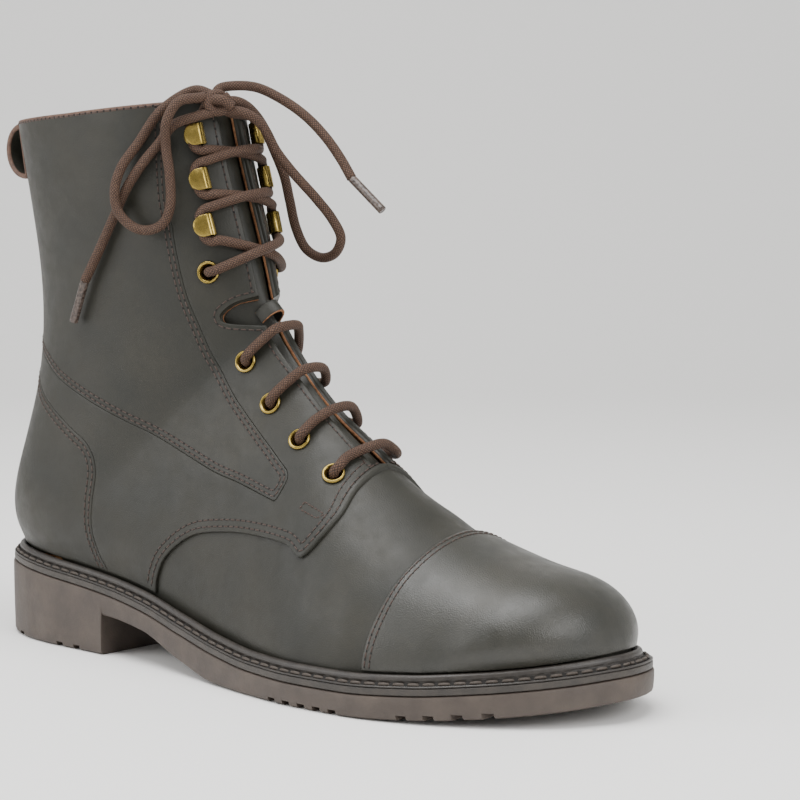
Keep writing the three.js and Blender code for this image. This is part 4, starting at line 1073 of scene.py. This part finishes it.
wall_lines = [(.8, down_from_top(0)), (.24, down_from_top(.23)), (0, down_from_top(.8)),
              (0, on_wall(.33)), (.1, on_wall(.66)), (.3, up_from_ground(1.5)),
              (.6, up_from_ground(.6))]
tread_lines = [(inset, up_from_ground(0)) for inset in (1.5, 3.5, 5.4, 6.4, 6.7)]
outsole_lines = [(from_edge(inset), height_at) for inset, height_at in
                 [(6.0, down_from_top(0)), *wall_lines, *tread_lines]]


def with_middle(points, faces, columns, side_lines):
    """Closes the inner lines of a loft's two sides to the middle of the foot. side_lines gives the
    number of each line, and whether its faces look down."""
    points, faces, start = list(points), list(faces), sum(map(len, points))
    offset = 0
    for block, side in zip(points[:2], (-1, 1)):
        stations = len(block) // columns
        for line, turned in side_lines:
            index = np.arange(stations) * columns + line
            middle = block[index].copy()
            middle[:, 1] = centre(middle[:, 0])
            a, b = index[:-1] + offset, index[1:] + offset
            c, d = start + np.arange(stations - 1) + 1, start + np.arange(stations - 1)
            quads = np.vstack([np.stack([a, b, c], -1), np.stack([a, c, d], -1)])
            faces.append(quads[:, ::-1] if (side < 0) == turned else quads)
            points.append(middle)
            start += stations
        offset += len(block)
    return weld(np.vstack(points), np.vstack(faces))


points, faces = with_middle(*sole_loft(outsole_lines, grooves=grooves), len(outsole_lines),
                            [(0, False), (len(outsole_lines) - 1, True)])
hard(put("outsole", on_boot(points), faces, rubber, ["outsole"]))

# %% Midsole strip, insole, welt
def above_strip(raise_by):
    return lambda x: midsole_top(x) + raise_by


put_loft("midsole", [(from_edge(inset), above_strip(-down)) for inset, down in (
    (14, 0), (.8, 0), (.5, .3), (.42, 1.3), (.5, MIDSOLE - .3), (.8, MIDSOLE), (14, MIDSOLE))], buffed)

INSOLE_OFF, INSOLE = -LAID_ON - WALL - .7, 3.0
insole_lines = [(from_feather(INSOLE_OFF), seat),
                (from_feather(INSOLE_OFF), lambda x: seat(x) + INSOLE - .4),
                (from_feather(INSOLE_OFF - .4), lambda x: seat(x) + INSOLE)]
points, faces = sole_loft(insole_lines, stations=300)
points, faces = with_middle(points, [f[:, ::-1] for f in faces], 3, [(0, False), (2, True)])
put("insole", on_boot(points), faces, tan, ["insole"])

WELT_TOP = GAP + WELT_SLOPE


def on_slope(share_up, sink=0.0):
    """A line on the stitched slope: its distance out and its height."""
    return (lambda share: lerp(sole_margin(share) - WELT_EDGE, BEAD_WIDTH, share_up) - .6 * sink,
            lambda x: midsole_top(x) + lerp(2 * GAP, WELT_TOP, share_up) - .8 * sink)


bead_lines = [(from_feather(BEAD_WIDTH / 2 + (BEAD_WIDTH / 2 - .05) * math.cos(a)),
               above_strip(WELT_TOP - .2 + (BEAD_HEIGHT + .2) * math.sin(a) ** .8))
              for a in np.linspace(0, math.pi * .96, 13)]
welt_lines = [(from_feather(-1.0), above_strip(GAP)), (from_edge(WELT_EDGE), above_strip(GAP)),
              on_slope(0), on_slope(.14), on_slope(.20, .5), on_slope(.26, .8), on_slope(.80, .8),
              on_slope(.90, .5), on_slope(.97), *bead_lines]
put_loft("welt", welt_lines, waxed_welt)
# A dark sheet along the floor of the channel, under the welt's stitches: painted shade in the groove
put_loft("welt_channel_shade", [on_slope(.17, .45), on_slope(.24, .72), on_slope(.84, .72),
                          on_slope(.93, .40)], painted_shade, nodes=())

# %% [markdown]
# ## Thread
# Stitches lie in rows at a fixed distance from a seam. A row is read from the panel's own sheet as
# the line where that distance holds, and cut into stitches of real length. The hole that the needle
# left between each two gets a dark disc of painted shade. Dashes in a texture would be cheaper, but
# small bodies of thread cast the shadows that make a seam look sewn.

# %% Lines at a distance from a seam
def chains(tri, rows, value):
    """Lines along which a value of the rows is nought, as lists of rows."""
    sign = value > 0
    segments = {}
    for t in tri[(sign[tri].sum(1) % 3) != 0]:
        ends_here = []
        for a, b in ((t[0], t[1]), (t[1], t[2]), (t[2], t[0])):
            if sign[a] != sign[b]:
                ends_here.append((min(a, b), max(a, b)))
        for one, other in (ends_here, ends_here[::-1]):
            segments.setdefault(one, []).append(other)
    lines, seen = [], set()
    for start in sorted(segments, key=lambda k: (len(segments[k]), k)):
        if start in seen:
            continue
        line, here = [start], start
        seen.add(start)
        while True:
            ahead = [k for k in segments[here] if k not in seen]
            if not ahead:
                break
            here = ahead[0]
            seen.add(here)
            line.append(here)
        pairs = np.array(line)
        t = (value[pairs[:, 0]] / (value[pairs[:, 0]] - value[pairs[:, 1]]))[:, None]
        lines.append(rows[pairs[:, 0]] * (1 - t) + rows[pairs[:, 1]] * t)
    return lines


def run_along(points):
    """The length of a line up to each of its points."""
    return np.concatenate([[0], np.cumsum(np.linalg.norm(np.diff(points, axis=0), axis=1))])


side, tri, rows, _ = panels["heel_counter"][0]
print("a row on the counter has", len(chains(tri, rows, rows[:, COL["counter"]] - 1.5)[0]), "places")

# %% Stitches and the holes between them
# Pitch, length and radius of the thread in the seams of the upper
SEAM_STITCH = (3.0, 2.3, .27)
# A stitch in five rings of six corners: where each lies in its length, its size and its height
# as shares of the length and the radius
RING_AT, RING_SIZE = np.array([-.5, -.38, 0, .38, .5]), np.array([.35, .9, 1, .9, .35])
RING_HEIGHT = np.array([-.5, .25, .45, .25, -.5])
RING_CORNERS, HOLE_CORNERS, STITCH_SINK, HOLE_LIFT, HOLE_SIZE = 6, 8, .05, .04, 1.7


def stitched(points, out, pitch, length, radius):
    """Stitches, and dark discs of painted shade on the pinholes, along a line of points with their
    ways out, all in millimetres.
    """
    run = run_along(points)
    middle = np.arange(pitch / 2, run[-1], pitch)
    if len(middle) < 2:
        return None

    def at(value, column_of):
        return np.stack([np.interp(value, run, column_of[:, k]) for k in range(3)], -1)

    def laid(place):
        """Places on the line, the way out, and the ways round: along and across the thread."""
        up = unit(at(place, out))
        ahead = unit(at(place + .1, points) - at(place - .1, points))
        return at(place, points), up, ahead, np.cross(ahead, up)
    spot, up, _, across = laid(middle[:, None] + RING_AT * length)
    turn = np.linspace(0, 2 * math.pi, RING_CORNERS, endpoint=False)[:, None]
    ring = (spot + up * (RING_HEIGHT * radius - STITCH_SINK)[:, None])[:, :, None] \
        + radius * RING_SIZE[:, None, None] * (across[:, :, None] * np.cos(turn)
                                               + up[:, :, None] * np.sin(turn))
    corner_of = np.arange(ring.size // 3).reshape(ring.shape[:3])
    a, b = corner_of[:, :-1], corner_of[:, 1:]
    quads = np.stack([a, np.roll(a, -1, 2), np.roll(b, -1, 2), b], -1).reshape(-1, 4)
    # Each hole between two stitches gets a flat dark disc a little over the leather: painted shade
    hole_at = np.clip(np.append(middle - pitch / 2, middle[-1] + pitch / 2), .2, run[-1] - .2)
    spot, up, ahead, across = laid(hole_at)
    turn = np.linspace(0, 2 * math.pi, HOLE_CORNERS, endpoint=False)[:, None]
    disc = (spot + up * HOLE_LIFT)[:, None] + radius * HOLE_SIZE * (
        ahead[:, None] * np.cos(turn) * 1.1 + across[:, None] * np.sin(turn))
    discs = np.arange(disc.size // 3).reshape(-1, HOLE_CORNERS)
    return ring.reshape(-1, 3), quads, disc.reshape(-1, 3), discs


straight = np.linspace(0, 100, 200)[:, None] * (1.0, 0, 0)
tested = stitched(straight, np.tile((0, 0, 1.0), (200, 1)), *SEAM_STITCH)
print("100 mm of seam takes", len(tested[3]) - 1, "stitches")

# %% Stitch rows of the panels
def put_many(name, blocks, finish):
    """Joined small pieces as one piece."""
    starts = np.cumsum([0] + [len(part) for part, _ in blocks])
    faces = np.vstack([shape + start for (_, shape), start in zip(blocks, starts)])
    return put(name, on_boot(np.vstack([part for part, _ in blocks])), faces, finish)


def seam_stitches(name, rows_of):
    """Stitch rows on a panel. rows_of gives a field and a distance from its line, and the fields
    whose edges the row keeps clear of."""
    made = []
    for side, tri, rows, _ in panels[name]:
        for field, distance, clear in rows_of:
            for line in chains(tri, rows, rows[:, COL[field]] - distance):
                keep = np.ones(len(line), bool)
                for other, least in clear:
                    keep &= np.abs(line[:, COL[other]]) > least
                runs = np.split(np.arange(len(line)), np.where(np.diff(keep.astype(int)))[0] + 1)
                made += [stitched(*skin_points(side, line[run], LAID_ON), *SEAM_STITCH)
                         for run in runs if keep[run[0]] and len(run) >= 4]
    made = [row for row in made if row]
    put_many("thread_" + name, [row[:2] for row in made], thread)
    # Dark discs of painted shade on the needle holes between the stitches
    put_many("pinholes_" + name, [row[2:] for row in made], painted_shade)
    print(name, sum(len(row[3]) - 1 for row in made), "stitches")


clear_of_bead = ("bead", 1.0)
seam_stitches("toe_cap", [("cap", at, [clear_of_bead]) for at in (1.4, 3.3)])
seam_stitches("heel_counter", [("counter", at, [clear_of_bead]) for at in (1.5, 3.6)])
for word in SIDES.values():
    seam_stitches("leg_" + word, [
        ("leg", 1.3, [("backseam", 1.5), ("collar", 1.5)]),
        ("leg", 3.1, [("backseam", 1.5), ("collar", 1.5)]),
        ("collar", 1.2, [("backseam", 1.0), ("leg", 1.0)])])
    seam_stitches("quarter_" + word, [
        ("quarter", 2.0, [clear_of_bead, ("ridge", 2), ("leg", 1)]),
        ("quarter", 4.5, [clear_of_bead, ("ridge", 2), ("leg", 1), ("throat", 1.5)]),
        ("throat", 2.3, [("quarter", 2.0), ("notch", 1.6), ("collar", 2)]),
        ("notch", 2.0, [("throat", 1.5), ("leg", 1)]),
        ("collar", 1.2, [("throat", 2), ("leg", 1)])])

# %% Box stitch at the front corner of each quarter
# Its corners on the leather, in millimetres from the back of the heel and from the middle
BOX = [(178.8, 30.1, 67), (179.9, 28.3, 69.4), (189.9, 28.4, 65.4), (187.7, 30.1, 64)]


def box_stitch(side):
    """Short stitches round the box, each line pulled on to the quarter's surface."""
    _, _, rows, _ = panels["quarter_" + SIDES[side]][0]
    surface, out = skin_points(side, rows, LAID_ON)
    tree = KDTree(len(surface))
    for k, p in enumerate(surface):
        tree.insert(p, k)
    tree.balance()
    box = np.array([(x, side * y + centre(x), z) for x, y, z in BOX + BOX[:1]])
    for a, b in zip(box, box[1:]):
        line = lerp(a, b, np.linspace(0, 1, 12)[:, None])
        index = [tree.find(p)[1] for p in line]
        way = out[index]
        line = line - way * ((line - surface[index]) * way).sum(1, keepdims=True)
        yield stitched(line, way, 1.7, 1.35, .3)


put_many("thread_box", [made[:2] for side in SIDES for made in box_stitch(side) if made], thread)

# %% Stitches of the welt
# Thick thread with a pitch of 5.6 mm
WELT_STITCH = (5.6, 4.7, .66)


def welt_row(side):
    """One side's row along the middle of the channel."""
    share = (1 - np.cos(math.pi * np.linspace(.0005, .9995, 1200))) / 2
    off, height_at = on_slope(.5, .5)
    plan = edge_points(side, share, off(share))
    outwards = edge_points(side, share, off(share) + 1) - plan
    return stitched(np.column_stack([plan, height_at(foot_x(share))]),
                    np.column_stack([outwards * .62, np.full(len(share), .78)]), *WELT_STITCH)


welt_rows = [welt_row(side) for side in SIDES]
put_many("thread_welt", [row[:2] for row in welt_rows], welt_thread)
# Dark discs of painted shade on the holes between the welt's stitches
put_many("pinholes_welt", [row[2:] for row in welt_rows], painted_shade)

# %% [markdown]
# ## Brass
# Eyelets are turned rings that roll over the leather. The speed hooks are strips of brass bent back
# over themselves on the throat side, with a round free end, so that the lace slips in from behind.
# Both are built from rings of corners, since the roll of a flange and the bend of a hook are too
# small for a bevel to find.

# %% Eyelets
# The ring's section: distance from the axis and height over the last
BORE, FLANGE, RING_SIDES = 2.3, 4.4, 48
RING = [(BORE, -WALL), (BORE, .4), (BORE + .2, 1.2), (BORE + .55, 1.9), (BORE + .9, 2.4),
        (BORE + 1.25, 2.66), (BORE + 1.55, 2.7), (BORE + 1.85, 2.5), (FLANGE - .04, 2.15),
        (FLANGE, 1.8), (BORE + .9, 1.8), (BORE + .9, -WALL)]


def seat_basis(place, height):
    """The point over a place and the directions across, along and out of the facing."""
    point, out, up = place
    x = unit(np.cross(up, out))
    return point + out * height, x, np.cross(out, x), out


def tube_faces(rings, sides, closed=False):
    """Faces between rings of corners, and back to the first ring where the tube is closed."""
    a = np.arange(rings * sides).reshape(rings, sides)
    b = np.roll(a, -1, 0) if closed else a[1:]
    a = a if closed else a[:-1]
    return np.stack([a, np.roll(a, -1, 1), np.roll(b, -1, 1), b], -1).reshape(-1, 4)


turn = np.linspace(0, 2 * math.pi, RING_SIDES, endpoint=False)[:, None]
ring = np.array(RING)
for (side, i), place in eyelets.items():
    base, x, y, out = seat_basis(place, 0)
    points = (base + ring[:, :1, None] * (np.cos(turn) * x + np.sin(turn) * y)
              + ring[:, 1:, None] * out)
    name = f"eyelet_{SIDES[side]}_{i}"
    hard(put(name, on_boot(points.reshape(-1, 3)),
             tube_faces(len(ring), RING_SIDES, True)[:, ::-1], brass, [name]), 50)

# %% Speed hooks
HOOK_WIDTH, HOOK_REACH, HOOK_RISE, SHEET = 8.4, 8, 5.2, .7
HOOK_SEAT = LAID_ON + GAP


def hook_rings():
    """Rings across the sheet, from the free end of the base to the free end of the plate."""
    back_x, bend, mid = -HOOK_REACH / 2, HOOK_RISE / 2, (HOOK_RISE - SHEET) / 2
    run = back_x * np.cos(np.linspace(0.02, 1, 16) * math.pi / 2)
    flat = np.concatenate([run, np.linspace(0, -back_x - bend, 5)[1:]])
    arc = np.linspace(-math.pi / 2, math.pi / 2, 17)[1:-1]
    base = [(x, SHEET / 2, 0, 1) for x in flat]
    turn = [(-back_x - bend + mid * math.cos(a), bend + mid * math.sin(a), math.sin(a + math.pi / 2),
             math.cos(a + math.pi / 2)) for a in arc]
    plate = [(x, HOOK_RISE - SHEET / 2 + .12 * (x < 0) * (x / back_x) ** 2, 0, -1)
             for x in flat[::-1]]
    rings = []
    for x, z, nx, nz in base + turn + plate:
        half = HOOK_WIDTH / 2 * (math.sqrt(max(1 - (x / back_x) ** 2, 0)) if x < 0 else 1)
        inner, edge, t = max(half - .3, 0), half, SHEET / 2
        loop = [(-inner, t), (inner, t), (lerp(inner, edge, .7), t * .7), (edge, 0),
                (lerp(inner, edge, .7), -t * .7), (inner, -t), (-inner, -t),
                (-lerp(inner, edge, .7), -t * .7), (-edge, 0), (-lerp(inner, edge, .7), t * .7)]
        rings.append([(x + nx * n, w, z + nz * n) for w, n in loop])
    return np.array(rings)


def hook_basis(side, i, height):
    """The point over a hook, the way into the throat, the way along the facing and the way out."""
    base, x, y, out = seat_basis(hooks[side, i], height)
    return base, -side * x, -side * y, out


hook_shape = hook_rings()
for side, i in hooks:
    base, x, y, out = hook_basis(side, i, HOOK_SEAT)
    points = (base + hook_shape[..., :1] * x + hook_shape[..., 1:2] * y + hook_shape[..., 2:] * out)
    count, sides = points.shape[:2]
    faces = [tuple(f) for f in tube_faces(count, sides)]
    faces += [tuple(range(sides))[::-1], tuple((count - 1) * sides + k for k in range(sides))]
    name = f"hook_{SIDES[side]}_{i}"
    hard(put(name, on_boot(points.reshape(-1, 3)), faces, brass, [name]), 60)

# %% [markdown]
# ## Keeper and pull loop
# A strap arches over the tongue between the eyelets and the hooks and keeps the lace in place. A
# doubled strap behind the collar helps to pull the boot on. Each is one rounded section of leather
# moved along its bend.

# %% Keeper
KEEPER_HALF, KEEPER_WIDTH, KEEPER_ARCH, KEEPER_RISE = 7, 5.5, 3.5, .618
keeper_row = row_where(1, .5, lambda p: p[2] - seat(p[0]) > KEEPER_RISE * UPPER_HEIGHT)
forward = skin(1, keeper_row, 0)[1]
keeper_along = np.array([forward[2], 0, -forward[0]])
# The strap's section: share of half its width, and millimetres of its thickness
strap_loop = [(-1, .25), (-.97, .08), (-.9, 0), (.9, 0), (.97, .08), (1, .25), (1, .95),
              (.97, 1.12), (.9, 1.2), (-.9, 1.2), (-.97, 1.12), (-1, .95)]
rings = []
for width in np.linspace(-KEEPER_HALF, KEEPER_HALF, 37):
    side = -1 if width < 0 else 1
    point, out = skin(side, keeper_row, v_at_width(side, keeper_row, abs(width)))
    lift = TONGUE_TOP + 2.5 * GAP + KEEPER_ARCH * (1 - (width / KEEPER_HALF) ** 2)
    rings.append([point + out * (lift + t) + keeper_along * (KEEPER_WIDTH / 2 * a)
                  for a, t in strap_loop])
rings = np.array(rings)
keeper_faces = tube_faces(len(rings), 12)
edge_side = np.isin(np.arange(len(keeper_faces)) % 12, (0, 4, 5, 6, 10, 11))
hard(put_parts("tongue_keeper", rings.reshape(-1, 3),
               [(keeper_faces[~edge_side], olive), (keeper_faces[edge_side], cut_edge)]), 50)

# %% Pull loop
PULL_WIDTH, PULL_HEIGHT, PULL_DEPTH, PULL_STRAP = 20, 23, 11, 2.4
pull_top = skin(1, LAST_ROW, 2, LAID_ON + GAP)[0]
pull_up = unit(pull_top - skin(1, LAST_ROW - 2, 2, LAID_ON + GAP)[0])
pull_out = np.array([-pull_up[2], 0, pull_up[0]])
across = np.array([0.0, 1.0, 0.0])


def strap_rings(inner, outer):
    """Rounded rings across a strap between an inner and an outer line of (up, out) pairs."""
    w, r = PULL_WIDTH / 2, .8
    made = []
    for (iu, io), (ou, oo) in zip(inner, outer):
        low = pull_top + pull_up * (iu - PULL_HEIGHT / 2) + pull_out * io
        high = pull_top + pull_up * (ou - PULL_HEIGHT / 2) + pull_out * oo
        made.append([lerp(low, high, t) + across * s * (w - r * k) for s, k, t in (
            (-1, 1, 0), (1, 1, 0), (1, .3, .1), (1, 0, .35), (1, 0, .65), (1, .3, .9), (1, 1, 1),
            (-1, 1, 1), (-1, .3, .9), (-1, 0, .65), (-1, 0, .35), (-1, .3, .1))])
    return np.array(made)


arc = np.linspace(0, math.pi, 49)
outer = [(PULL_HEIGHT / 2 * math.cos(a), PULL_DEPTH * math.sin(a)) for a in arc]
inner = [((PULL_HEIGHT / 2 - PULL_STRAP) * math.cos(a),
          LEATHER + (PULL_DEPTH - PULL_STRAP - LEATHER) * math.sin(a)) for a in arc]
loop_rings = strap_rings(inner, outer)
ground = np.linspace(-PULL_HEIGHT / 2 + .1, PULL_HEIGHT / 2 - .1, 5)
base_rings = strap_rings([(g, .02) for g in ground], [(g, LEATHER) for g in ground])
loop_faces = tube_faces(len(loop_rings), 12)
base_faces = tube_faces(5, 12) + loop_rings.size // 3
pull_faces = np.vstack([loop_faces, base_faces])
cut_sides = ~np.isin(np.arange(len(pull_faces)) % 12, (0, 6))
hard(put_parts("pull_loop", np.vstack([loop_rings.reshape(-1, 3), base_rings.reshape(-1, 3)]),
               [(pull_faces[~cut_sides], olive), (pull_faces[cut_sides], binding)]), 50)

# %% [markdown]
# ## The lace
# One round braided lace, 3.8 mm thick, comes out of each eyelet, lies over the throat and goes down
# into the eyelet on the other side. Above them it slips behind the speed hooks and crosses from
# side to side up to the bow. The loops and ends of the bow hang limp. The route of each is a list
# of places in the boot's frame, in millimetres, from where it leaves the knot. A curve with a round
# bevel would give the shape, but the braid needs a coordinate along the lace and one round it, so
# the tube is built ring by ring.

# %% Lace tubes
CURVE_STEP = .6


def curve_through(points):
    """Places along a centripetal curve through points."""
    p = np.asarray(points, float)
    p = np.vstack([2 * p[0] - p[1], p, 2 * p[-1] - p[-2]])
    made = []
    for p0, p1, p2, p3 in zip(p, p[1:], p[2:], p[3:]):
        d0, d1, d2 = (math.sqrt(np.linalg.norm(b - a)) + 1e-9
                      for a, b in ((p0, p1), (p1, p2), (p2, p3)))
        m1 = d1 * ((p1 - p0) / d0 - (p2 - p0) / (d0 + d1) + (p2 - p1) / d1)
        m2 = d1 * ((p2 - p1) / d1 - (p3 - p1) / (d1 + d2) + (p3 - p2) / d2)
        n = max(2, math.ceil(np.linalg.norm(p2 - p1) / CURVE_STEP))
        t = np.linspace(0, 1, n, endpoint=False)[:, None]
        made.append((2 * t ** 3 - 3 * t * t + 1) * p1 + (t ** 3 - 2 * t * t + t) * m1
                    + (3 * t * t - 2 * t ** 3) * p2 + (t ** 3 - t * t) * m2)
    return np.vstack([*made, p[-2:-1]])


def length_of(points):
    return float(np.linalg.norm(np.diff(points, axis=0), axis=1).sum())


def lace_tubes(name, lines, finish, nodes, radius=LACE / 2, sides=20):
    """Round tubes along lines, all in millimetres in the boot's frame, with the length and the way
    round each kept as coordinates of the braid."""
    points, faces, along, start = [], [], [], 0
    for line in lines:
        line = np.asarray(line, float)
        ahead = unit(np.gradient(line, axis=0))
        frames = [unit(np.cross(ahead[0], (0.3, 0.5, 0.8)))]
        for way in ahead[1:]:
            frames.append(unit(frames[-1] - way * (frames[-1] @ way)))
        frames = np.array(frames)
        turn = np.linspace(0, 2 * math.pi, sides + 1)
        ring = line[:, None] + radius * (frames[:, None] * np.cos(turn)[:, None]
                                         + np.cross(ahead, frames)[:, None] * np.sin(turn)[:, None])
        run = run_along(line)
        grid = np.arange(len(line) * (sides + 1)).reshape(len(line), sides + 1)
        a, b, c, d = grid[:-1, :-1], grid[:-1, 1:], grid[1:, 1:], grid[1:, :-1]
        faces += [tuple(int(k) + start for k in f)
                  for f in np.stack([a, b, c, d], -1).reshape(-1, 4)]
        along.append(np.stack([np.repeat(run, sides + 1), np.tile(turn * LACE / 2, len(line))], -1))
        points.append(ring.reshape(-1, 3))
        start += grid.size
        faces += [tuple(int(k) + start - grid.size for k in grid[0, :-1][::-1]),
                  tuple(int(k) + start - grid.size for k in grid[-1, :-1])]
    piece = put(name, np.vstack(points) * MM, faces, finish, nodes)
    braid = piece.data.uv_layers.new(name="braid")
    along = np.vstack(along)
    corner_of = np.empty(len(piece.data.loops), int)
    piece.data.loops.foreach_get("vertex_index", corner_of)
    braid.data.foreach_set("uv", along[corner_of].ravel())
    return piece


print("the lace is", round(math.pi * LACE, 1), "mm round")

# %% Bars through the eyelets
OVER_FACING, BORE_BELOW = LAID_ON + 2 * GAP + LACE / 2, 4.5


def through_bore(side, i):
    """The lace in the bore of an eyelet and just above it, bent towards the throat."""
    point, out, up = eyelets[side, i]
    inwards = np.cross(up, out) * -side
    return [point - out * BORE_BELOW, point + out * .6, point + out * 2.9 + inwards * .7,
            point + out * 4.1 + inwards * 2.8]


# The inner half of a bar lies a little higher. From the fourth bar both strands run on up under
# the facings to the next eyelet
INNER_LIFT, UNDER_FACING, RISING = .9, (12, -1.2), (9, 13, 17, 21, 25)
for i in range(1, 5):
    point, out, up = eyelets[-1, i]
    width = EYELETS[i - 1][1] * LEG_WIDTH

    def above(side, distance, height):
        u = row_where(side, distance, lambda p: (p - point) @ (up[0], 0, up[2]) > 0)
        return skin(side, u, v_at_width(side, u, distance), height)[0]

    near, far = (through_bore(side, i) + [above(side, width - 6, OVER_FACING + lift),
                                          above(side, 4, OVER_FACING + lift)]
                 for side, lift in ((-1, 0), (1, INNER_LIFT)))
    lines = [curve_through(placed(near + far[::-1]))]
    if i == 4:
        for side in SIDES:
            rising = [above(side, *UNDER_FACING) + up * step for step in RISING]
            lines.append(curve_through(placed(rising)))
    lace_tubes(f"lace_bar_{i}", lines, lace_finish, [f"lace_bar_{i}"])

# %% Crossings round the hooks
UNDER_PLATE = HOOK_SEAT + HOOK_RISE / 2


def round_hook(side, i, turned):
    """The lace behind the bend of a hook, from its lower to its upper side, or half of that."""
    base, x, y, _ = hook_basis(side, i, UNDER_PLATE)
    y = y if y[2] > 0 else -y
    lower = [(4.2, -6.6), (1.2, -6.2), (-.8, -4.4), (-1.2, -1.6), (-1.2, 0)]
    upper = [(-1.2, 0), (-1.2, 1.6), (-.8, 4.4), (1.2, 6.2), (4.2, 6.6)]
    return [base + x * a + y * b for a, b in (upper if turned else lower)]


# How far each strand lies off the facing where the two cross, and where it goes over the throat
STRAND_LIFT, OVER_WIDTH = {-1: 2.0 * .8, 1: -1.4 * .8}, 5


def crossing(side, i):
    """One strand from a side to the hook on the other side."""
    start = through_bore(side, 5) if i == 1 else round_hook(side, i - 1, True)
    end = round_hook(-side, i, False)

    def over(s, share):
        z = lerp(start[-1][2], end[0][2], share)
        u = row_where(s, OVER_WIDTH, lambda p: p[2] > z)
        return skin(s, u, v_at_width(s, u, OVER_WIDTH), OVER_FACING + STRAND_LIFT[side])[0]
    return curve_through(placed([*start, over(side, .35), over(-side, .65), *end]))


KNOT = np.array([79.5, -10.5, 214.5])
for i in (1, 2, 3):
    strands = [crossing(-1, i), crossing(1, i)]
    if i == 3:
        for side, way in ((-1, (-3.5, -1.5, -2.5)), (1, (1.5, 3.0, -3.0))):
            top_turn = placed(round_hook(side, 3, True))
            strands.append(curve_through([*top_turn[:-1], KNOT + way, KNOT]))
    lace_tubes(f"lace_cross_{i}", strands, lace_finish, [f"lace_cross_{i}"])

# %% The bow
LOOP_LEFT = [(77, -11, 217.5), (70, -13.5, 219.3), (63, -24, 212), (54.6, -29, 199),
             (50, -33.4, 190), (48.4, -35.5, 181.5), (49.5, -35, 173.5), (54.6, -32, 167.5),
             (60, -29, 166.3), (66, -27, 169), (68.8, -26, 175), (68.4, -25.5, 187),
             (67, -26, 198), (69.5, -28, 207.5), (72.5, -24.6, 214.8), (77, -15, 216.8)]
END_LEFT = [(79, -13, 211), (75, -18, 209.3), (68.5, -23, 206.3), (62.4, -25.5, 199),
            (56.5, -29, 191), (50, -31.2, 181.5), (45.6, -32, 173.5), (38, -32.6, 161),
            (31.2, -32.6, 151), (27.6, -32.6, 146)]
LOOP_RIGHT = [(80, -8, 215), (82, -4, 215.2), (81.8, 3, 213), (82, 10, 207), (83.5, 15.5, 196.5),
              (85, 19.5, 186.5), (85, 22.5, 177), (86, 25, 166), (89.5, 27, 158),
              (97, 28, 154.8), (104.2, 28, 157), (108, 27, 163), (105.4, 25, 170),
              (100.6, 21, 178), (94, 15, 188), (90.3, 10, 196), (89.4, 3, 206),
              (86.5, -3, 210.6), (81, -8, 212)]
END_RIGHT = [(77, -10, 217), (76, -6, 220), (78.5, 0, 221), (82, 8, 220.3), (89, 14, 216),
             (97.8, 18, 209.6), (105.6, 21, 201.6), (111.5, 23, 193.6), (116.5, 24, 186)]
AGLETS = {"left": [(27.6, -32.6, 146), (19.4, -31.6, 129.2)],
          "right": [(116.5, 24, 186), (131.5, 25, 174)]}

turn = np.linspace(-.35, 1.15, 40) * 2 * math.pi
wrap = KNOT + np.stack([1.6 * np.cos(turn) + turn * .42 - 1.3, 3.4 * np.cos(turn) - turn * .2,
                        3.3 * np.sin(turn)], -1)
hitch = KNOT + np.array([(-5.2, -2.6, -3.0), (-3.0, -2.9, -.4), (0, -2.6, 1.2), (3.2, -.6, 1.0),
                         (5.0, 2.6, -1.4)])
knot = lace_tubes("lace_knot", [wrap, curve_through(hitch)], lace_finish, ["lace_knot"])

routes = {"loop_left": LOOP_LEFT, "loop_right": LOOP_RIGHT, "end_left": END_LEFT,
          "end_right": END_RIGHT}
for name, route in routes.items():
    line = curve_through(route)
    piece = lace_tubes("lace_" + name, [line], lace_finish, ["lace_" + name])
    with_pieces, far_end = [knot] if name == "loop_left" else [], "knot"
    if name.startswith("end"):
        side_name = name[4:]
        start, stop = np.array(AGLETS[side_name], float)
        ahead = unit(stop - start)
        sheath = lace_tubes("aglet_" + side_name, [[start + ahead * .3, start + ahead * .9,
                                                    stop - ahead * .9, stop - ahead * .3]], tip,
                            ["aglet_" + side_name], radius=1.7, sides=24)
        with_pieces, far_end = [sheath], "fitting"
    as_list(with_pieces)
    print(name, round(length_of(line)), "mm of lace")

# %% [markdown]
# ## Floor
# A photographer lets the paper run on and curve up behind the boot, so that no horizon shows. The
# floor here is one sheet along the camera's line of sight: flat, then a quarter of a circle, then
# upright. It is no part of the boot.

# %% Floor that curves up behind the boot
NEAR_END, CURVE_AT, CURVE_RADIUS, SHEET_TOP, SHEET_HALF, FLOOR_DROP = -3.0, 0.9, 0.8, 3.0, 4, 0.0002
sweep = [(NEAR_END, 0.0), (CURVE_AT, 0.0)]
sweep += [(CURVE_AT + CURVE_RADIUS * math.sin(a), CURVE_RADIUS * (1 - math.cos(a)))
          for a in np.linspace(0, math.pi / 2, 25)[1:]]
sweep.append((CURVE_AT + CURVE_RADIUS, SHEET_TOP))
away = Vector((-math.sin(turn_of_camera), math.cos(turn_of_camera), 0))
aside = Vector((away.y, -away.x, 0))
corners = [tuple(away * d + aside * s + Vector((0, 0, z - FLOOR_DROP))) for d, z in sweep
           for s in (-SHEET_HALF, SHEET_HALF)]
floor_mesh = bpy.data.meshes.new("floor")
floor_mesh.from_pydata(corners, [], [(2 * k, 2 * k + 1, 2 * k + 3, 2 * k + 2)
                                     for k in range(len(sweep) - 1)])
floor_mesh.polygons.foreach_set("use_smooth", [True] * len(floor_mesh.polygons))
floor = bpy.data.objects.new("floor", floor_mesh)
floor_mesh.materials.append(Finish("pale_floor", "#f6f5f3", .8).material)
bpy.context.scene.collection.objects.link(floor)
print("floor from", NEAR_END, "to", CURVE_AT + CURVE_RADIUS, "m along the line of sight")

# %% Count the meshes
print("writing the sizes of", len(bpy.data.meshes), "meshes")
